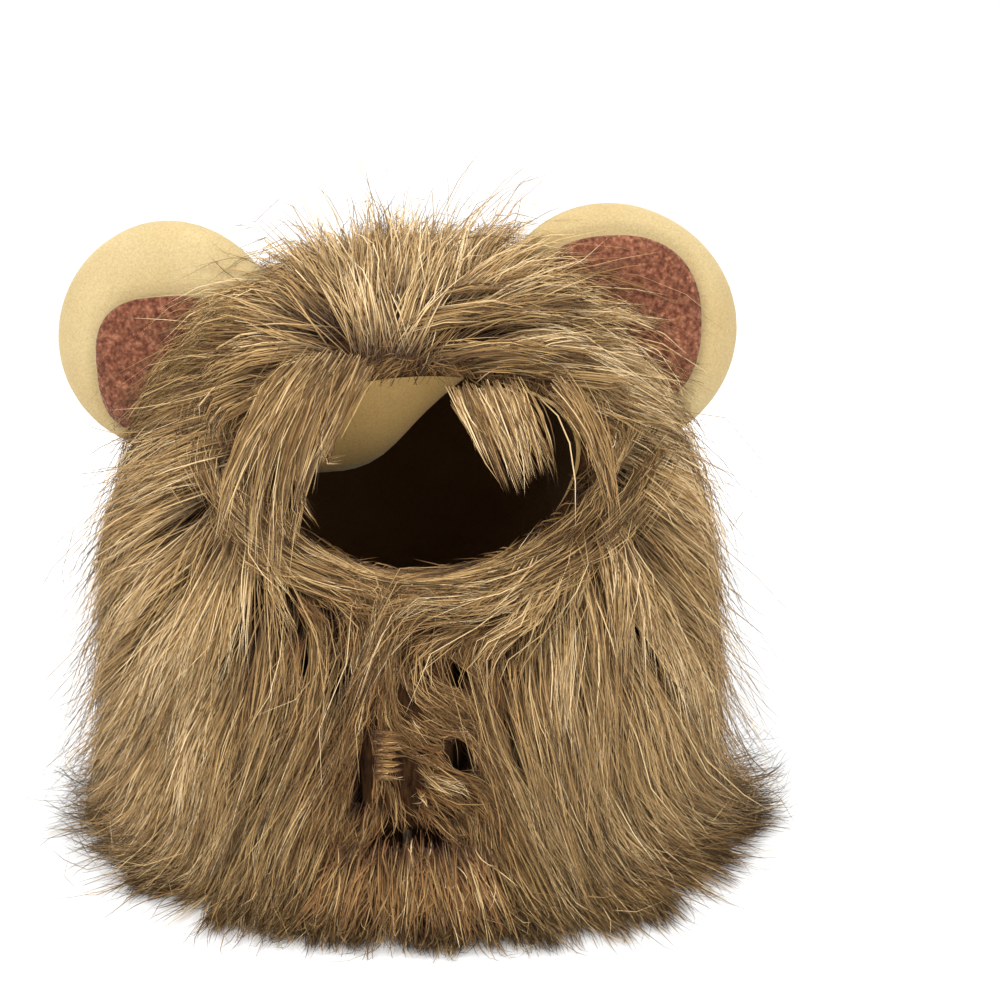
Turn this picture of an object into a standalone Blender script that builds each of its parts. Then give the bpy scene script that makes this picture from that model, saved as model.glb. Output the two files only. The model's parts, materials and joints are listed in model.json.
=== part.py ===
"""A lion mane wig for a small pet: a lined fur hood that stands on its hem, with two stuffed ears.

Metres, +Z up, the face opening towards -Y, and the origin on the floor under the middle of the box.
"""
import math

import bpy
import numpy as np

MM = 0.001

# The hood's cloth, measured on the face between the lining and the fur cloth.
HOOD_HEIGHT = 176 * MM
HOOD_HALF_WIDTH = 68 * MM
HOOD_HALF_DEPTH = 62 * MM
LINING_WALL = 1.6 * MM
SEWN_GAP = 0.3 * MM  # between two pieces that are sewn or pressed together
HEM_LIFT = 0.5 * MM  # the lining's hem over the floor

# The dense fur round the cloth.
FUR_HEIGHT = 186 * MM
FUR_HALF_WIDTH = 97 * MM
FUR_HALF_DEPTH = 88 * MM
CLOTH_WALL = 2.0 * MM  # what an ear's root leaves of the fur cloth

# The face opening, an oval tunnel along Y.
FACE_HALF_WIDTH = 46 * MM
FACE_HALF_HEIGHT = 26 * MM
FACE_X = 5 * MM
FACE_Z = 132.5 * MM
RIM_FUR = 8 * MM  # depth of the fur at the rim
RIM_REACH = 18 * MM  # how far from the rim the fur gets back to its full depth

# The closure under the chin.
CHIN_X = -1 * MM
SLIT_WIDTH = 3 * MM
CHANNEL_FUR = 6 * MM  # depth of the fur cloth under the flap
CHANNEL_HALF_WIDTH = 15.5 * MM
CHANNEL_RAMP = 7 * MM
CHANNEL_FROM = 12 * MM  # the channel ends over the hem, where the tuft stands
TAPE_HALF_WIDTH = 9 * MM
TAPE_WALL = 2 * MM
TAPE_BOTTOM = 34 * MM
TAPE_TOP = 92 * MM
FLAP_HALF_WIDTH = 12.5 * MM
FLAP_WALL = 6 * MM
FLAP_BOTTOM = 25 * MM
FLAP_TOP = 101 * MM
SLAB_ROUNDING = 0.12  # how far the corners of tape and flap draw in, as a share of their half sizes
SLAB_THINNING = 0.35  # how much thinner both are at their edges

# The ears.
EAR_LENGTH = 75 * MM  # of an ear whose size is 1
EAR_WIDTH = 76 * MM
EAR_WALL = 23 * MM
EAR_DISH = 3 * MM  # how far the face of an ear is hollow
EAR_POCKET = 0.4 * MM  # between an ear and the fur round its root
PATCH_WALL = 1.2 * MM

# The sag of the lining under the crown.
SAG_DROP = 56 * MM
SAG_X = -20 * MM
SAG_Y = 4 * MM
SAG_HALF_WIDTH = 42 * MM
SAG_HALF_DEPTH = 18 * MM
SAG_FROM = 128 * MM  # the lining sags above this height, and fully SAG_FADE over it
SAG_FADE = 24 * MM

COLUMNS = 40
FRONT_CROWDING = 0.42  # 0 spaces the columns evenly, more crowds them towards the front

# Share of the height, of the half width and of the half depth, from the hem to the pole.
CLOTH_SECTIONS = np.array([
    (0.000, 1.000, 1.000),
    (0.080, 0.990, 0.990),
    (0.230, 0.970, 0.970),
    (0.380, 0.945, 0.950),
    (0.510, 0.915, 0.920),
    (0.630, 0.890, 0.890),
    (0.740, 0.850, 0.835),
    (0.850, 0.760, 0.730),
    (0.930, 0.590, 0.560),
    (0.982, 0.320, 0.310),
    (1.000, 0.000, 0.000),
])
FUR_SECTIONS = np.array([
    (0.000, 1.000, 1.000),
    (0.080, 0.990, 0.980),
    (0.210, 0.975, 0.955),
    (0.350, 0.965, 0.925),
    (0.490, 0.945, 0.885),
    (0.610, 0.905, 0.830),
    (0.730, 0.815, 0.745),
    (0.840, 0.665, 0.625),
    (0.930, 0.480, 0.460),
    (0.982, 0.265, 0.260),
    (1.000, 0.000, 0.000),
])

# One row for each ear: the sign of its side, its centre as shares of the fur's half width, half depth
# and height, its size as a share of the named one, how far its tip leans outwards from the vertical,
# how far its face turns outwards and downwards (degrees), and its patch: centre and half sizes as
# shares of the ear's half sizes, first across and then along it.
EARS = (
    dict(name="left", side=-1, centre=(-0.758, 0.020, 0.849), size=0.98, lean=50, turn=12, bow=-2,
         patch_centre=(0.14, -0.12), patch_half=(0.70, 0.66)),
    dict(name="right", side=1, centre=(0.644, 0.034, 0.866), size=1.04, lean=45, turn=8, bow=-8,
         patch_centre=(0.06, 0.00), patch_half=(0.76, 0.78)),
)
EAR_NARROWING = 0.14  # how much narrower an ear is at its root

# Rows of locks round the hood: start and end as shares of the fur's height (below 0 they lie on the
# floor), how many there are, how far they sweep back (degrees), how far the tip stands off, and
# their width and depth (mm).
BODY_LOCKS = (
    dict(start=0.995, end=0.80, count=9, sweep=6, lift=7, width=20, depth=11),
    dict(start=0.86, end=0.56, count=11, sweep=8, lift=6, width=19, depth=11),
    dict(start=0.66, end=0.36, count=14, sweep=7, lift=6, width=20, depth=11),
    dict(start=0.46, end=0.16, count=16, sweep=5, lift=6, width=21, depth=11),
    dict(start=0.26, end=-0.03, count=18, sweep=4, lift=5, width=21, depth=10),
    dict(start=0.12, end=-0.14, count=20, sweep=3, lift=3, width=19, depth=9),
)
FLOOR_SPLAY = 95 * MM  # how fast a lock that lies on the floor leaves the hem, for a share of 1
FRONT_SPLAY = 0.35  # how much more the front locks splay than the side ones, and the back ones less
FLOOR_LIFT = 3.5 * MM  # the middle of such a lock over the floor
LOCK_CLEAR = 0.6 * MM  # the least height of a lock over the floor

# Locks that follow the rim of the face opening down to the chin: turn round the oval at the start and
# at the tip (degrees, 0 towards +X), how far out each is as a share of the oval, and the tip's lift (mm).
RIM_LOCKS = (
    dict(turn=(52, 8), reach=(1.30, 1.34), lift=5),
    dict(turn=(22, -26), reach=(1.24, 1.30), lift=5),
    dict(turn=(-8, -52), reach=(1.22, 1.32), lift=4),
    dict(turn=(-34, -74), reach=(1.22, 1.34), lift=3),
    dict(turn=(128, 172), reach=(1.30, 1.34), lift=5),
    dict(turn=(158, 206), reach=(1.24, 1.30), lift=5),
    dict(turn=(188, 230), reach=(1.22, 1.32), lift=4),
    dict(turn=(214, 250), reach=(1.22, 1.34), lift=3),
)
RIM_LOCK_WIDTH = 14 * MM
RIM_LOCK_DEPTH = 8 * MM

# Locks that leave the whorl over the face: bearing (degrees, 0 towards +X, 90 to the back), reach
# from the whorl and rise of the tip over the dense fur, in mm.
CROWN_LOCK_WIDTH = 18 * MM
CROWN_LOCK_DEPTH = 10 * MM
WHORL_X = -6 * MM
WHORL_Y = -45 * MM
CROWN_LOCKS = (
    dict(bearing=-8, reach=50, rise=4),
    dict(bearing=14, reach=50, rise=7),
    dict(bearing=36, reach=48, rise=13),
    dict(bearing=58, reach=46, rise=19),
    dict(bearing=78, reach=42, rise=25),
    dict(bearing=98, reach=40, rise=24),
    dict(bearing=118, reach=45, rise=20),
    dict(bearing=140, reach=48, rise=13),
    dict(bearing=162, reach=50, rise=8),
    dict(bearing=186, reach=50, rise=4),
)

# Locks that hang over the face opening. Each point is across and up from the opening's middle and
# ahead of the hood's, as shares of the opening's half sizes and of the hood's half depth.
HANGING_LOCKS = (
    dict(start=(0.30, 0.82, 1.33), middle=(0.42, 1.02, 0.84), end=(0.54, 1.05, 0.00)),
    dict(start=(0.60, 0.75, 1.20), middle=(0.84, 0.97, 0.66), end=(0.97, 0.99, -0.34)),
    dict(start=(-0.54, 0.81, 1.33), middle=(-0.67, 1.02, 0.84), end=(-0.72, 1.05, -0.06)),
    dict(start=(-0.74, 0.77, 1.24), middle=(-0.95, 0.99, 0.66), end=(-1.00, 1.04, -0.48)),
)
HANGING_WIDTH = 14 * MM
HANGING_DEPTH = 8 * MM

# Locks of the tuft under the flap: how far the start and the tip are from the chin's middle (mm).
TUFT_LOCKS = (
    dict(start=-14, tip=-22),
    dict(start=-5, tip=-8),
    dict(start=6, tip=9),
    dict(start=15, tip=23),
)
TUFT_WIDTH = 13 * MM
TUFT_DEPTH = 8 * MM
TUFT_UNDER = 5 * MM  # the tuft's roots under the flap
TUFT_REACH = 7 * MM  # its tips before the hem

# Short locks on the flap, in rows of two: height of the start and of the tip as shares of the flap's,
# and how far the start and the tip are to the side, as shares of its half width.
FLAP_LOCKS = (
    dict(start=0.95, tip=0.78, start_side=0.32, tip_side=0.62),
    dict(start=0.77, tip=0.57, start_side=0.24, tip_side=0.64),
    dict(start=0.54, tip=0.34, start_side=0.32, tip_side=0.62),
    dict(start=0.30, tip=0.11, start_side=0.24, tip_side=0.64),
)
FLAP_LOCK_WIDTH = 9 * MM
FLAP_LOCK_DEPTH = 4.5 * MM
FLAP_LOCK_LIFT = 2.5 * MM

# Shares of a lock's length, and of its width and depth there, from the root to the tip.
LOCK_PROFILE = np.array([
    (0.00, 0.80, 0.85),
    (0.40, 1.00, 1.00),
    (0.78, 0.62, 0.58),
])
LOCK_SIDES = 4
LOCK_SINK = 5 * MM  # a lock's root under the face of the fur
ROOT_CLEAR = 1 * MM  # the least distance of a root from the cloth

CUT_AHEAD = 1.5 * FUR_HALF_DEPTH  # how far before the hood the face opening's cutter starts
CUT_INTO = 0.31 * HOOD_HALF_DEPTH  # and where it ends, before the hood's middle
CUT_BELOW = 10 * MM  # how far the cutters go through the floor

COLOURS = {
    "fur": ((0.42, 0.29, 0.16), 0.85),
    "flap_fur": ((0.25, 0.14, 0.07), 0.90),
    "cream_plush": ((0.78, 0.62, 0.33), 0.90),
    "lining_plush": ((0.62, 0.48, 0.26), 0.92),
    "brown_fleece": ((0.27, 0.11, 0.08), 0.92),
    "tape": ((0.05, 0.045, 0.04), 0.80),
}


def clear_scene():
    for obj in list(bpy.data.objects):
        bpy.data.objects.remove(obj, do_unlink=True)


def collection(name, hidden):
    made = bpy.data.collections.new(name)
    bpy.context.scene.collection.children.link(made)
    made.hide_render = hidden
    return made


def material(name):
    colour, roughness = COLOURS[name]
    made = bpy.data.materials.new(name)
    made.use_nodes = True
    shader = made.node_tree.nodes["Principled BSDF"]
    shader.inputs["Base Color"].default_value = (*colour, 1.0)
    shader.inputs["Roughness"].default_value = roughness
    shader.inputs["Metallic"].default_value = 0.0
    return made


def solid(name, points, faces, home, paint=None):
    mesh = bpy.data.meshes.new(name)
    mesh.from_pydata([tuple(map(float, p)) for p in points], [], [tuple(map(int, f)) for f in faces])
    mesh.validate()
    mesh.update()
    obj = bpy.data.objects.new(name, mesh)
    home.objects.link(obj)
    if paint is None:
        obj.hide_render = True
        obj.display_type = "WIRE"
    else:
        mesh.materials.append(paint)
    return obj


def boolean(obj, cutter, operation, overlapping=False):
    step = obj.modifiers.new(f"{operation.lower()} {cutter.name}", "BOOLEAN")
    step.operation = operation
    step.solver = "EXACT"
    step.use_self = overlapping
    step.object = cutter


def column_angles():
    """Angles round the hood, 0 towards +X, crowded towards the front."""
    even = np.linspace(-math.pi, math.pi, COLUMNS, endpoint=False)
    return even - FRONT_CROWDING * np.sin(even) - math.pi / 2


def section_point(sections, sizes, angle, share):
    """The point of a sectioned surface at an angle and at a row share from 0 (hem) to 1 (pole)."""
    rows = np.linspace(0, 1, len(sections))
    height, half_width, half_depth = (
        np.interp(share, rows, sections[:, i]) * sizes[i] for i in range(3)
    )
    return np.stack([half_width * np.cos(angle), half_depth * np.sin(angle), height], axis=-1)


CLOTH_SIZES = (HOOD_HEIGHT, HOOD_HALF_WIDTH, HOOD_HALF_DEPTH)
FUR_SIZES = (FUR_HEIGHT, FUR_HALF_WIDTH, FUR_HALF_DEPTH)


def cloth_point(angle, share):
    return section_point(CLOTH_SECTIONS, CLOTH_SIZES, angle, share)


def ramp(value, low, high):
    share = np.clip((value - low) / (high - low), 0, 1)
    return share * share * (3 - 2 * share)


def fur_point(angle, share):
    """The dense fur's face: full depth over the cloth, thin at the rim and in the chin's channel."""
    cloth = cloth_point(angle, share)
    full = section_point(FUR_SECTIONS, FUR_SIZES, angle, share)
    depth = np.linalg.norm(full - cloth, axis=-1)
    front = ramp(-full[..., 1], 0.0, 30 * MM)
    x = cloth[..., 0]
    z = cloth[..., 2]
    oval = np.hypot((x - FACE_X) / FACE_HALF_WIDTH, (z - FACE_Z) / FACE_HALF_HEIGHT)
    off_rim = (oval - 1) * math.sqrt(FACE_HALF_WIDTH * FACE_HALF_HEIGHT)
    at_rim = front * (1 - ramp(off_rim, 0.0, RIM_REACH))
    off_chin = np.abs(x - CHIN_X)
    at_chin = front * (1 - ramp(off_chin, CHANNEL_HALF_WIDTH, CHANNEL_HALF_WIDTH + CHANNEL_RAMP))
    at_chin = at_chin * (1 - ramp(z, FACE_Z - FACE_HALF_HEIGHT, FACE_Z)) * ramp(z, 0.0, CHANNEL_FROM)
    thin = np.minimum(
        depth * (1 - at_rim) + RIM_FUR * at_rim,
        depth * (1 - at_chin) + CHANNEL_FUR * at_chin,
    )
    return cloth + (full - cloth) * (np.minimum(thin, depth) / np.maximum(depth, 1e-9))[..., None]


def grid_normals(surface):
    """Unit normals of a surface given as a function of angle and share, by small differences."""
    step = 1e-3

    def normals(angle, share):
        low = np.clip(share - step, 0, 1)
        high = np.clip(share + step, 0, 1)
        up = surface(angle, high) - surface(angle, low)
        round_ = surface(angle + step, share) - surface(angle - step, share)
        across = np.cross(round_, up)
        size = np.linalg.norm(across, axis=-1, keepdims=True)
        straight_up = np.zeros_like(across)
        straight_up[..., 2] = 1.0
        return np.where(size > 1e-12, across / np.maximum(size, 1e-12), straight_up)

    return normals


cloth_normal = grid_normals(cloth_point)
fur_normal = grid_normals(fur_point)


def cloth_grid(offset, floor=0.0):
    """Rows of points along the cloth, moved out by offset, and the pole as the last point."""
    rows = len(CLOTH_SECTIONS)
    share, angle = np.meshgrid(np.linspace(0, 1, rows)[:-1], column_angles(), indexing="ij")
    points = cloth_point(angle, share) + offset * cloth_normal(angle, share)
    points[0, :, 2] = floor
    pole = np.array([0.0, 0.0, HOOD_HEIGHT + offset])
    return points, pole


def fur_grid():
    rows = len(FUR_SECTIONS)
    share, angle = np.meshgrid(np.linspace(0, 1, rows)[:-1], column_angles(), indexing="ij")
    points = fur_point(angle, share)
    points[0, :, 2] = 0.0
    return points, np.array([0.0, 0.0, FUR_HEIGHT])


def dome_faces(rows, columns, start, outwards):
    """Quads of a dome whose points start at an index, row by row from the hem, then the pole."""
    faces = []
    pole = start + rows * columns
    for row in range(rows - 1):
        for column in range(columns):
            after = (column + 1) % columns
            a = start + row * columns + column
            b = start + row * columns + after
            faces.append((a, b, b + columns, a + columns))
    for column in range(columns):
        a = start + (rows - 1) * columns + column
        b = start + (rows - 1) * columns + (column + 1) % columns
        faces.append((a, b, pole))
    return faces if outwards else [face[::-1] for face in faces]


def shell(outer, inner):
    """A closed dome with a wall, from an outer and an inner grid of the same size."""
    (outside, outer_pole), (inside, inner_pole) = outer, inner
    rows, columns = outside.shape[:2]
    start = rows * columns + 1
    points = np.vstack([outside.reshape(-1, 3), outer_pole, inside.reshape(-1, 3), inner_pole])
    faces = dome_faces(rows, columns, 0, True) + dome_faces(rows, columns, start, False)
    for column in range(columns):
        after = (column + 1) % columns
        faces.append((after, column, start + column, start + after))
    return points, faces


def block(grid, depth):
    """A closed solid dome: the grid, closed by a floor that lies depth below its hem."""
    outside, pole = grid
    rows, columns = outside.shape[:2]
    floor = outside[0].copy()
    floor[:, 2] -= depth
    points = np.vstack([outside.reshape(-1, 3), pole, floor])
    faces = dome_faces(rows, columns, 0, True)
    start = rows * columns + 1
    for column in range(columns):
        after = (column + 1) % columns
        faces.append((start + column, start + after, after, column))
    faces.append(tuple(range(start + columns - 1, start - 1, -1)))
    return points, faces


def sagged(grid):
    """The lining's crown, let down in a soft bag."""
    points, pole = grid
    every = np.vstack([points.reshape(-1, 3), pole])
    bag = np.exp(
        -(((every[:, 0] - SAG_X) / SAG_HALF_WIDTH) ** 2)
        - ((every[:, 1] - SAG_Y) / SAG_HALF_DEPTH) ** 2
    )
    every[:, 2] -= SAG_DROP * bag * ramp(every[:, 2], SAG_FROM, SAG_FROM + SAG_FADE)
    return every[:-1].reshape(points.shape), every[-1]


def oval_tunnel(near, far, sides=40):
    """The face opening's oval, drawn out along Y through the front of the hood."""
    turn = np.linspace(0, 2 * math.pi, sides, endpoint=False)
    x = FACE_X + FACE_HALF_WIDTH * np.cos(turn)
    z = FACE_Z + FACE_HALF_HEIGHT * np.sin(turn)
    points = [(a, near, b) for a, b in zip(x, z)] + [(a, far, b) for a, b in zip(x, z)]
    faces = [tuple(range(sides)), tuple(range(2 * sides - 1, sides - 1, -1))]
    for i in range(sides):
        j = (i + 1) % sides
        faces.append((i, i + sides, j + sides, j))
    return points, faces


def box(low, high):
    (x0, y0, z0), (x1, y1, z1) = low, high
    points = [(x, y, z) for z in (z0, z1) for y in (y0, y1) for x in (x0, x1)]
    faces = [(0, 2, 3, 1), (4, 5, 7, 6), (0, 1, 5, 4), (2, 6, 7, 3), (0, 4, 6, 2), (1, 3, 7, 5)]
    return points, faces


def front_angle(x, share):
    """The angle at which the cloth's front has this x, at a row share."""
    rows = np.linspace(0, 1, len(CLOTH_SECTIONS))
    half_width = np.interp(share, rows, CLOTH_SECTIONS[:, 1]) * HOOD_HALF_WIDTH
    return -np.arccos(np.clip(x / half_width, -1, 1))


def cloth_share(z):
    return np.interp(z / HOOD_HEIGHT, CLOTH_SECTIONS[:, 0], np.linspace(0, 1, len(CLOTH_SECTIONS)))


def fur_share(z):
    return np.interp(z / FUR_HEIGHT, FUR_SECTIONS[:, 0], np.linspace(0, 1, len(FUR_SECTIONS)))


def front_slab(half_width, bottom, top, near, wall, columns=7, rows=9):
    """A panel that follows the cloth's front at a distance, with its corners rounded off."""
    u, v = np.meshgrid(np.linspace(-1, 1, columns), np.linspace(-1, 1, rows))
    x = CHIN_X + half_width * u * (1 - SLAB_ROUNDING * v**4)
    z = (bottom + top) / 2 + (top - bottom) / 2 * v * (1 - SLAB_ROUNDING * u**4)
    share = cloth_share(z)
    angle = front_angle(x, share)
    normal = cloth_normal(angle, share)
    back = cloth_point(angle, share) + near * normal
    edge = np.maximum(np.abs(u), np.abs(v)) ** 3
    face = back + (wall * (1 - SLAB_THINNING * edge))[..., None] * normal
    points = np.vstack([back.reshape(-1, 3), face.reshape(-1, 3)])
    start = rows * columns
    faces = []
    for row in range(rows - 1):
        for column in range(columns - 1):
            a = row * columns + column
            quad = (a, a + 1, a + 1 + columns, a + columns)
            faces.append(tuple(start + i for i in quad))
            faces.append(quad[::-1])
    rim = [column for column in range(columns)]
    rim += [row * columns + columns - 1 for row in range(1, rows)]
    rim += [(rows - 1) * columns + column for column in range(columns - 2, -1, -1)]
    rim += [row * columns for row in range(rows - 2, 0, -1)]
    for i, a in enumerate(rim):
        b = rim[(i + 1) % len(rim)]
        faces.append((a, b, start + b, start + a))
    return points, faces


def ear_axes(ear):
    """Across, along (root to tip) and outwards from the face of an ear."""
    lean = math.radians(ear["lean"]) * ear["side"]
    turn = math.radians(ear["turn"]) * ear["side"]
    bow = math.radians(ear["bow"])
    facing = np.array([math.sin(turn) * math.cos(bow), -math.cos(turn) * math.cos(bow), -math.sin(bow)])
    along = np.array([math.sin(lean), 0.0, math.cos(lean)])
    along -= facing * along.dot(facing)
    along /= np.linalg.norm(along)
    across = np.cross(along, -facing)
    return across, along, facing


def ear_centre(ear):
    return np.array(ear["centre"]) * (FUR_HALF_WIDTH, FUR_HALF_DEPTH, FUR_HEIGHT)


def ear_offset(radius, grow):
    """Half the ear's depth at a share of its radius, with the dish of its face taken off in front."""
    puff = np.sqrt(np.clip(1 - radius**2.4, 0, 1))
    front = (EAR_WALL / 2 + grow) * puff - EAR_DISH * np.clip(1 - radius**2, 0, 1) ** 2
    back = -(EAR_WALL / 2 + grow) * puff
    return front, back


def ear_solid(ear, grow=0.0, front_grow=0.0, segments=24):
    half_width = EAR_WIDTH / 2 * ear["size"] + grow
    half_length = EAR_LENGTH / 2 * ear["size"] + grow
    rings = np.array([0.36, 0.62, 0.80, 0.92, 0.985])
    turn = np.linspace(0, 2 * math.pi, segments, endpoint=False)
    radius, angle = np.meshgrid(rings, turn, indexing="ij")
    u = radius * np.cos(angle)
    v = radius * np.sin(angle)
    front, back = ear_offset(radius, grow)

    def placed(u, v, off):
        across, along, facing = ear_axes(ear)
        narrow = 1 - EAR_NARROWING * np.clip(-v, 0, 1) ** 2
        return (
            ear_centre(ear)
            + (u * half_width * narrow)[..., None] * across
            + (v * half_length)[..., None] * along
            + np.asarray(off)[..., None] * facing
        )

    middle_front, middle_back = ear_offset(np.zeros(1), grow)
    points = np.vstack([
        placed(u, v, front + front_grow * (1 - radius**16)).reshape(-1, 3),
        placed(np.cos(turn), np.sin(turn), np.zeros(segments)),
        placed(u, v, back)[::-1].reshape(-1, 3),
        placed(np.zeros(1), np.zeros(1), middle_front + front_grow),
        placed(np.zeros(1), np.zeros(1), middle_back),
    ])
    bands = 2 * len(rings) + 1
    front_pole = bands * segments
    faces = []
    for band in range(bands - 1):
        for i in range(segments):
            j = (i + 1) % segments
            a, b = band * segments + i, band * segments + j
            faces.append((a, a + segments, b + segments, b))
    last = (bands - 1) * segments
    for i in range(segments):
        j = (i + 1) % segments
        faces.append((front_pole, i, j))
        faces.append((front_pole + 1, last + j, last + i))
    return points, outward(points, faces)


def outward(points, faces):
    """The faces, turned round if they close the solid inside out."""
    volume = 0.0
    for face in faces:
        for i in range(1, len(face) - 1):
            a, b, c = points[face[0]], points[face[i]], points[face[i + 1]]
            volume += np.dot(a, np.cross(b, c))
    return faces if volume > 0 else [face[::-1] for face in faces]


def patch_solid(ear, segments=20):
    """The fleece patch, a thin skin that follows the ear's face."""
    across, along, facing = ear_axes(ear)
    rings = np.array([0.40, 0.78, 1.0])
    turn = np.linspace(0, 2 * math.pi, segments, endpoint=False)
    radius, angle = np.meshgrid(rings, turn, indexing="ij")
    u, v = (
        np.append(radius * round_(angle), 0.0) * ear["patch_half"][i] + ear["patch_centre"][i]
        for i, round_ in enumerate((np.cos, np.sin))
    )
    front, _ = ear_offset(np.hypot(u, v), 0.0)
    narrow = 1 - EAR_NARROWING * np.clip(-v, 0, 1) ** 2
    half_width = EAR_WIDTH / 2 * ear["size"]
    half_length = EAR_LENGTH / 2 * ear["size"]
    flat = ear_centre(ear) + (u * half_width * narrow)[:, None] * across + (v * half_length)[:, None] * along
    low = flat + (front + SEWN_GAP)[:, None] * facing
    high = flat + (front + SEWN_GAP + PATCH_WALL)[:, None] * facing
    points = np.vstack([low, high])
    count = len(low)
    pole = count - 1
    faces = []
    for ring in range(len(rings) - 1):
        for i in range(segments):
            j = (i + 1) % segments
            a, b = ring * segments + i, ring * segments + j
            quad = (a, b, b + segments, a + segments)
            faces.append(quad)
            faces.append(tuple(count + k for k in quad[::-1]))
    last = (len(rings) - 1) * segments
    for i in range(segments):
        j = (i + 1) % segments
        faces.append((j, i, pole))
        faces.append((count + i, count + j, count + pole))
        faces.append((last + i, last + j, count + last + j, count + last + i))
    return points, outward(points, faces)


def near_ear(points, margin):
    """Whether any of the points is inside an ear that has grown by the margin."""
    for ear in EARS:
        across, along, facing = ear_axes(ear)
        off = points - ear_centre(ear)
        u = off @ across / (EAR_WIDTH / 2 * ear["size"] + margin)
        v = off @ along / (EAR_LENGTH / 2 * ear["size"] + margin)
        w = off @ facing / (EAR_WALL / 2 + margin)
        if (np.maximum(np.hypot(u, v) ** 2.4 + w**2, 0) < 1).any():
            return True
    return False


def lock(root, middle, tip, lifted, width, depth):
    """A tapered lock along a bent path, flat across the direction in which it is lifted."""
    shares = LOCK_PROFILE[:, 0][:, None]
    path = (1 - shares) ** 2 * root + 2 * shares * (1 - shares) * middle + shares**2 * tip
    heading = 2 * (1 - shares) * (middle - root) + 2 * shares * (tip - middle)
    heading /= np.linalg.norm(heading, axis=1, keepdims=True)
    side = np.cross(heading, lifted)
    side /= np.linalg.norm(side, axis=1, keepdims=True)
    over = np.cross(side, heading)
    turn = np.linspace(0, 2 * math.pi, LOCK_SIDES, endpoint=False) + math.pi / 2
    rings = (
        path[:, None]
        + (LOCK_PROFILE[:, 1, None] * width / 2 * np.cos(turn))[..., None] * side[:, None]
        + (LOCK_PROFILE[:, 2, None] * depth / 2 * np.sin(turn))[..., None] * over[:, None]
    )
    points = np.vstack([rings.reshape(-1, 3), tip])
    points[:, 2] = np.maximum(points[:, 2], LOCK_CLEAR)
    count = len(LOCK_PROFILE)
    faces = [tuple(range(LOCK_SIDES))[::-1]]
    for ring in range(count - 1):
        for i in range(LOCK_SIDES):
            j = (i + 1) % LOCK_SIDES
            a, b = ring * LOCK_SIDES + i, ring * LOCK_SIDES + j
            faces.append((a, b, b + LOCK_SIDES, a + LOCK_SIDES))
    last = (count - 1) * LOCK_SIDES
    for i in range(LOCK_SIDES):
        faces.append((last + i, last + (i + 1) % LOCK_SIDES, count * LOCK_SIDES))
    return points, outward(points, faces)


def guide(angle, height):
    """A point and a normal on the dense fur's face, or on the floor where the height is below 0."""
    share = fur_share(max(height, 0.0) * FUR_HEIGHT)
    point = fur_point(np.array(angle), np.array(share))
    normal = fur_normal(np.array(angle), np.array(share))
    if height < 0:
        outwards = np.array([math.cos(angle), math.sin(angle), 0.0])
        splay = FLOOR_SPLAY * (1 - FRONT_SPLAY * math.sin(angle))
        point = point + outwards * splay * -height
        point[2] = FLOOR_LIFT
    return point, normal


def rooted(start, normal, angle, share, depth):
    """A lock's root, sunk in the fur but kept off the lining."""
    fur_depth = np.linalg.norm(start - cloth_point(angle, share))
    return start - normal * min(LOCK_SINK, fur_depth - 0.42 * depth - ROOT_CLEAR)


def body_locks(wobble):
    made = []
    for row, spec in enumerate(BODY_LOCKS):
        for i in range(spec["count"]):
            place = -math.pi + 2 * math.pi * (i + 0.5 * (row % 2) + 0.25) / spec["count"]
            place -= 0.25 * math.sin(place)
            angle = place - math.pi / 2 + math.radians(wobble.uniform(-4, 4))
            away = math.copysign(1.0, place)
            sweep = math.radians(spec["sweep"]) * away * (1 - abs(place) / math.pi)
            height = spec["start"] + wobble.uniform(-0.03, 0.03)
            start, normal = guide(angle, height)
            middle, above = guide(angle + 0.55 * sweep, (spec["start"] + spec["end"]) / 2)
            end, beyond = guide(angle + sweep, spec["end"] + wobble.uniform(-0.02, 0.03))
            middle = middle + above * spec["lift"] * MM * 0.75
            if spec["end"] > 0:
                end = end + beyond * spec["lift"] * MM
            scale = wobble.uniform(0.88, 1.12)
            depth = spec["depth"] * MM * scale
            root = rooted(start, normal, angle, fur_share(height * FUR_HEIGHT), depth)
            made.append((root, middle, end, above, spec["width"] * MM * scale, depth))
    return made


def rim_locks(wobble):
    made = []
    for spec in RIM_LOCKS:
        steps = []
        for share in (0.0, 0.5, 1.0):
            turn, reach = (np.interp(share, (0, 1), spec[key]) for key in ("turn", "reach"))
            turn = math.radians(turn)
            x = FACE_X + FACE_HALF_WIDTH * reach * math.cos(turn)
            z = FACE_Z + FACE_HALF_HEIGHT * reach * math.sin(turn)
            height = fur_share(z)
            half_width = np.interp(height, np.linspace(0, 1, len(FUR_SECTIONS)), FUR_SECTIONS[:, 1])
            angle = -math.acos(np.clip(x / (half_width * FUR_HALF_WIDTH), -0.97, 0.97))
            steps.append((fur_point(np.array(angle), height), fur_normal(np.array(angle), height),
                          angle, height))
        (start, normal, angle, height), (middle, above, *_), (end, beyond, *_) = steps
        root = rooted(start, normal, angle, height, RIM_LOCK_DEPTH)
        made.append((root, middle + above * spec["lift"] * MM * 0.9, end + beyond * spec["lift"] * MM,
                     above, RIM_LOCK_WIDTH, RIM_LOCK_DEPTH))
    return made


def crown_height(x, y):
    """The height of the dense fur's dome over a place near the crown."""
    radius = np.hypot(x / FUR_HALF_WIDTH, y / FUR_HALF_DEPTH)
    mean = (FUR_SECTIONS[:, 1] + FUR_SECTIONS[:, 2]) / 2
    return np.interp(radius, mean[::-1], FUR_SECTIONS[::-1, 0]) * FUR_HEIGHT


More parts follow.
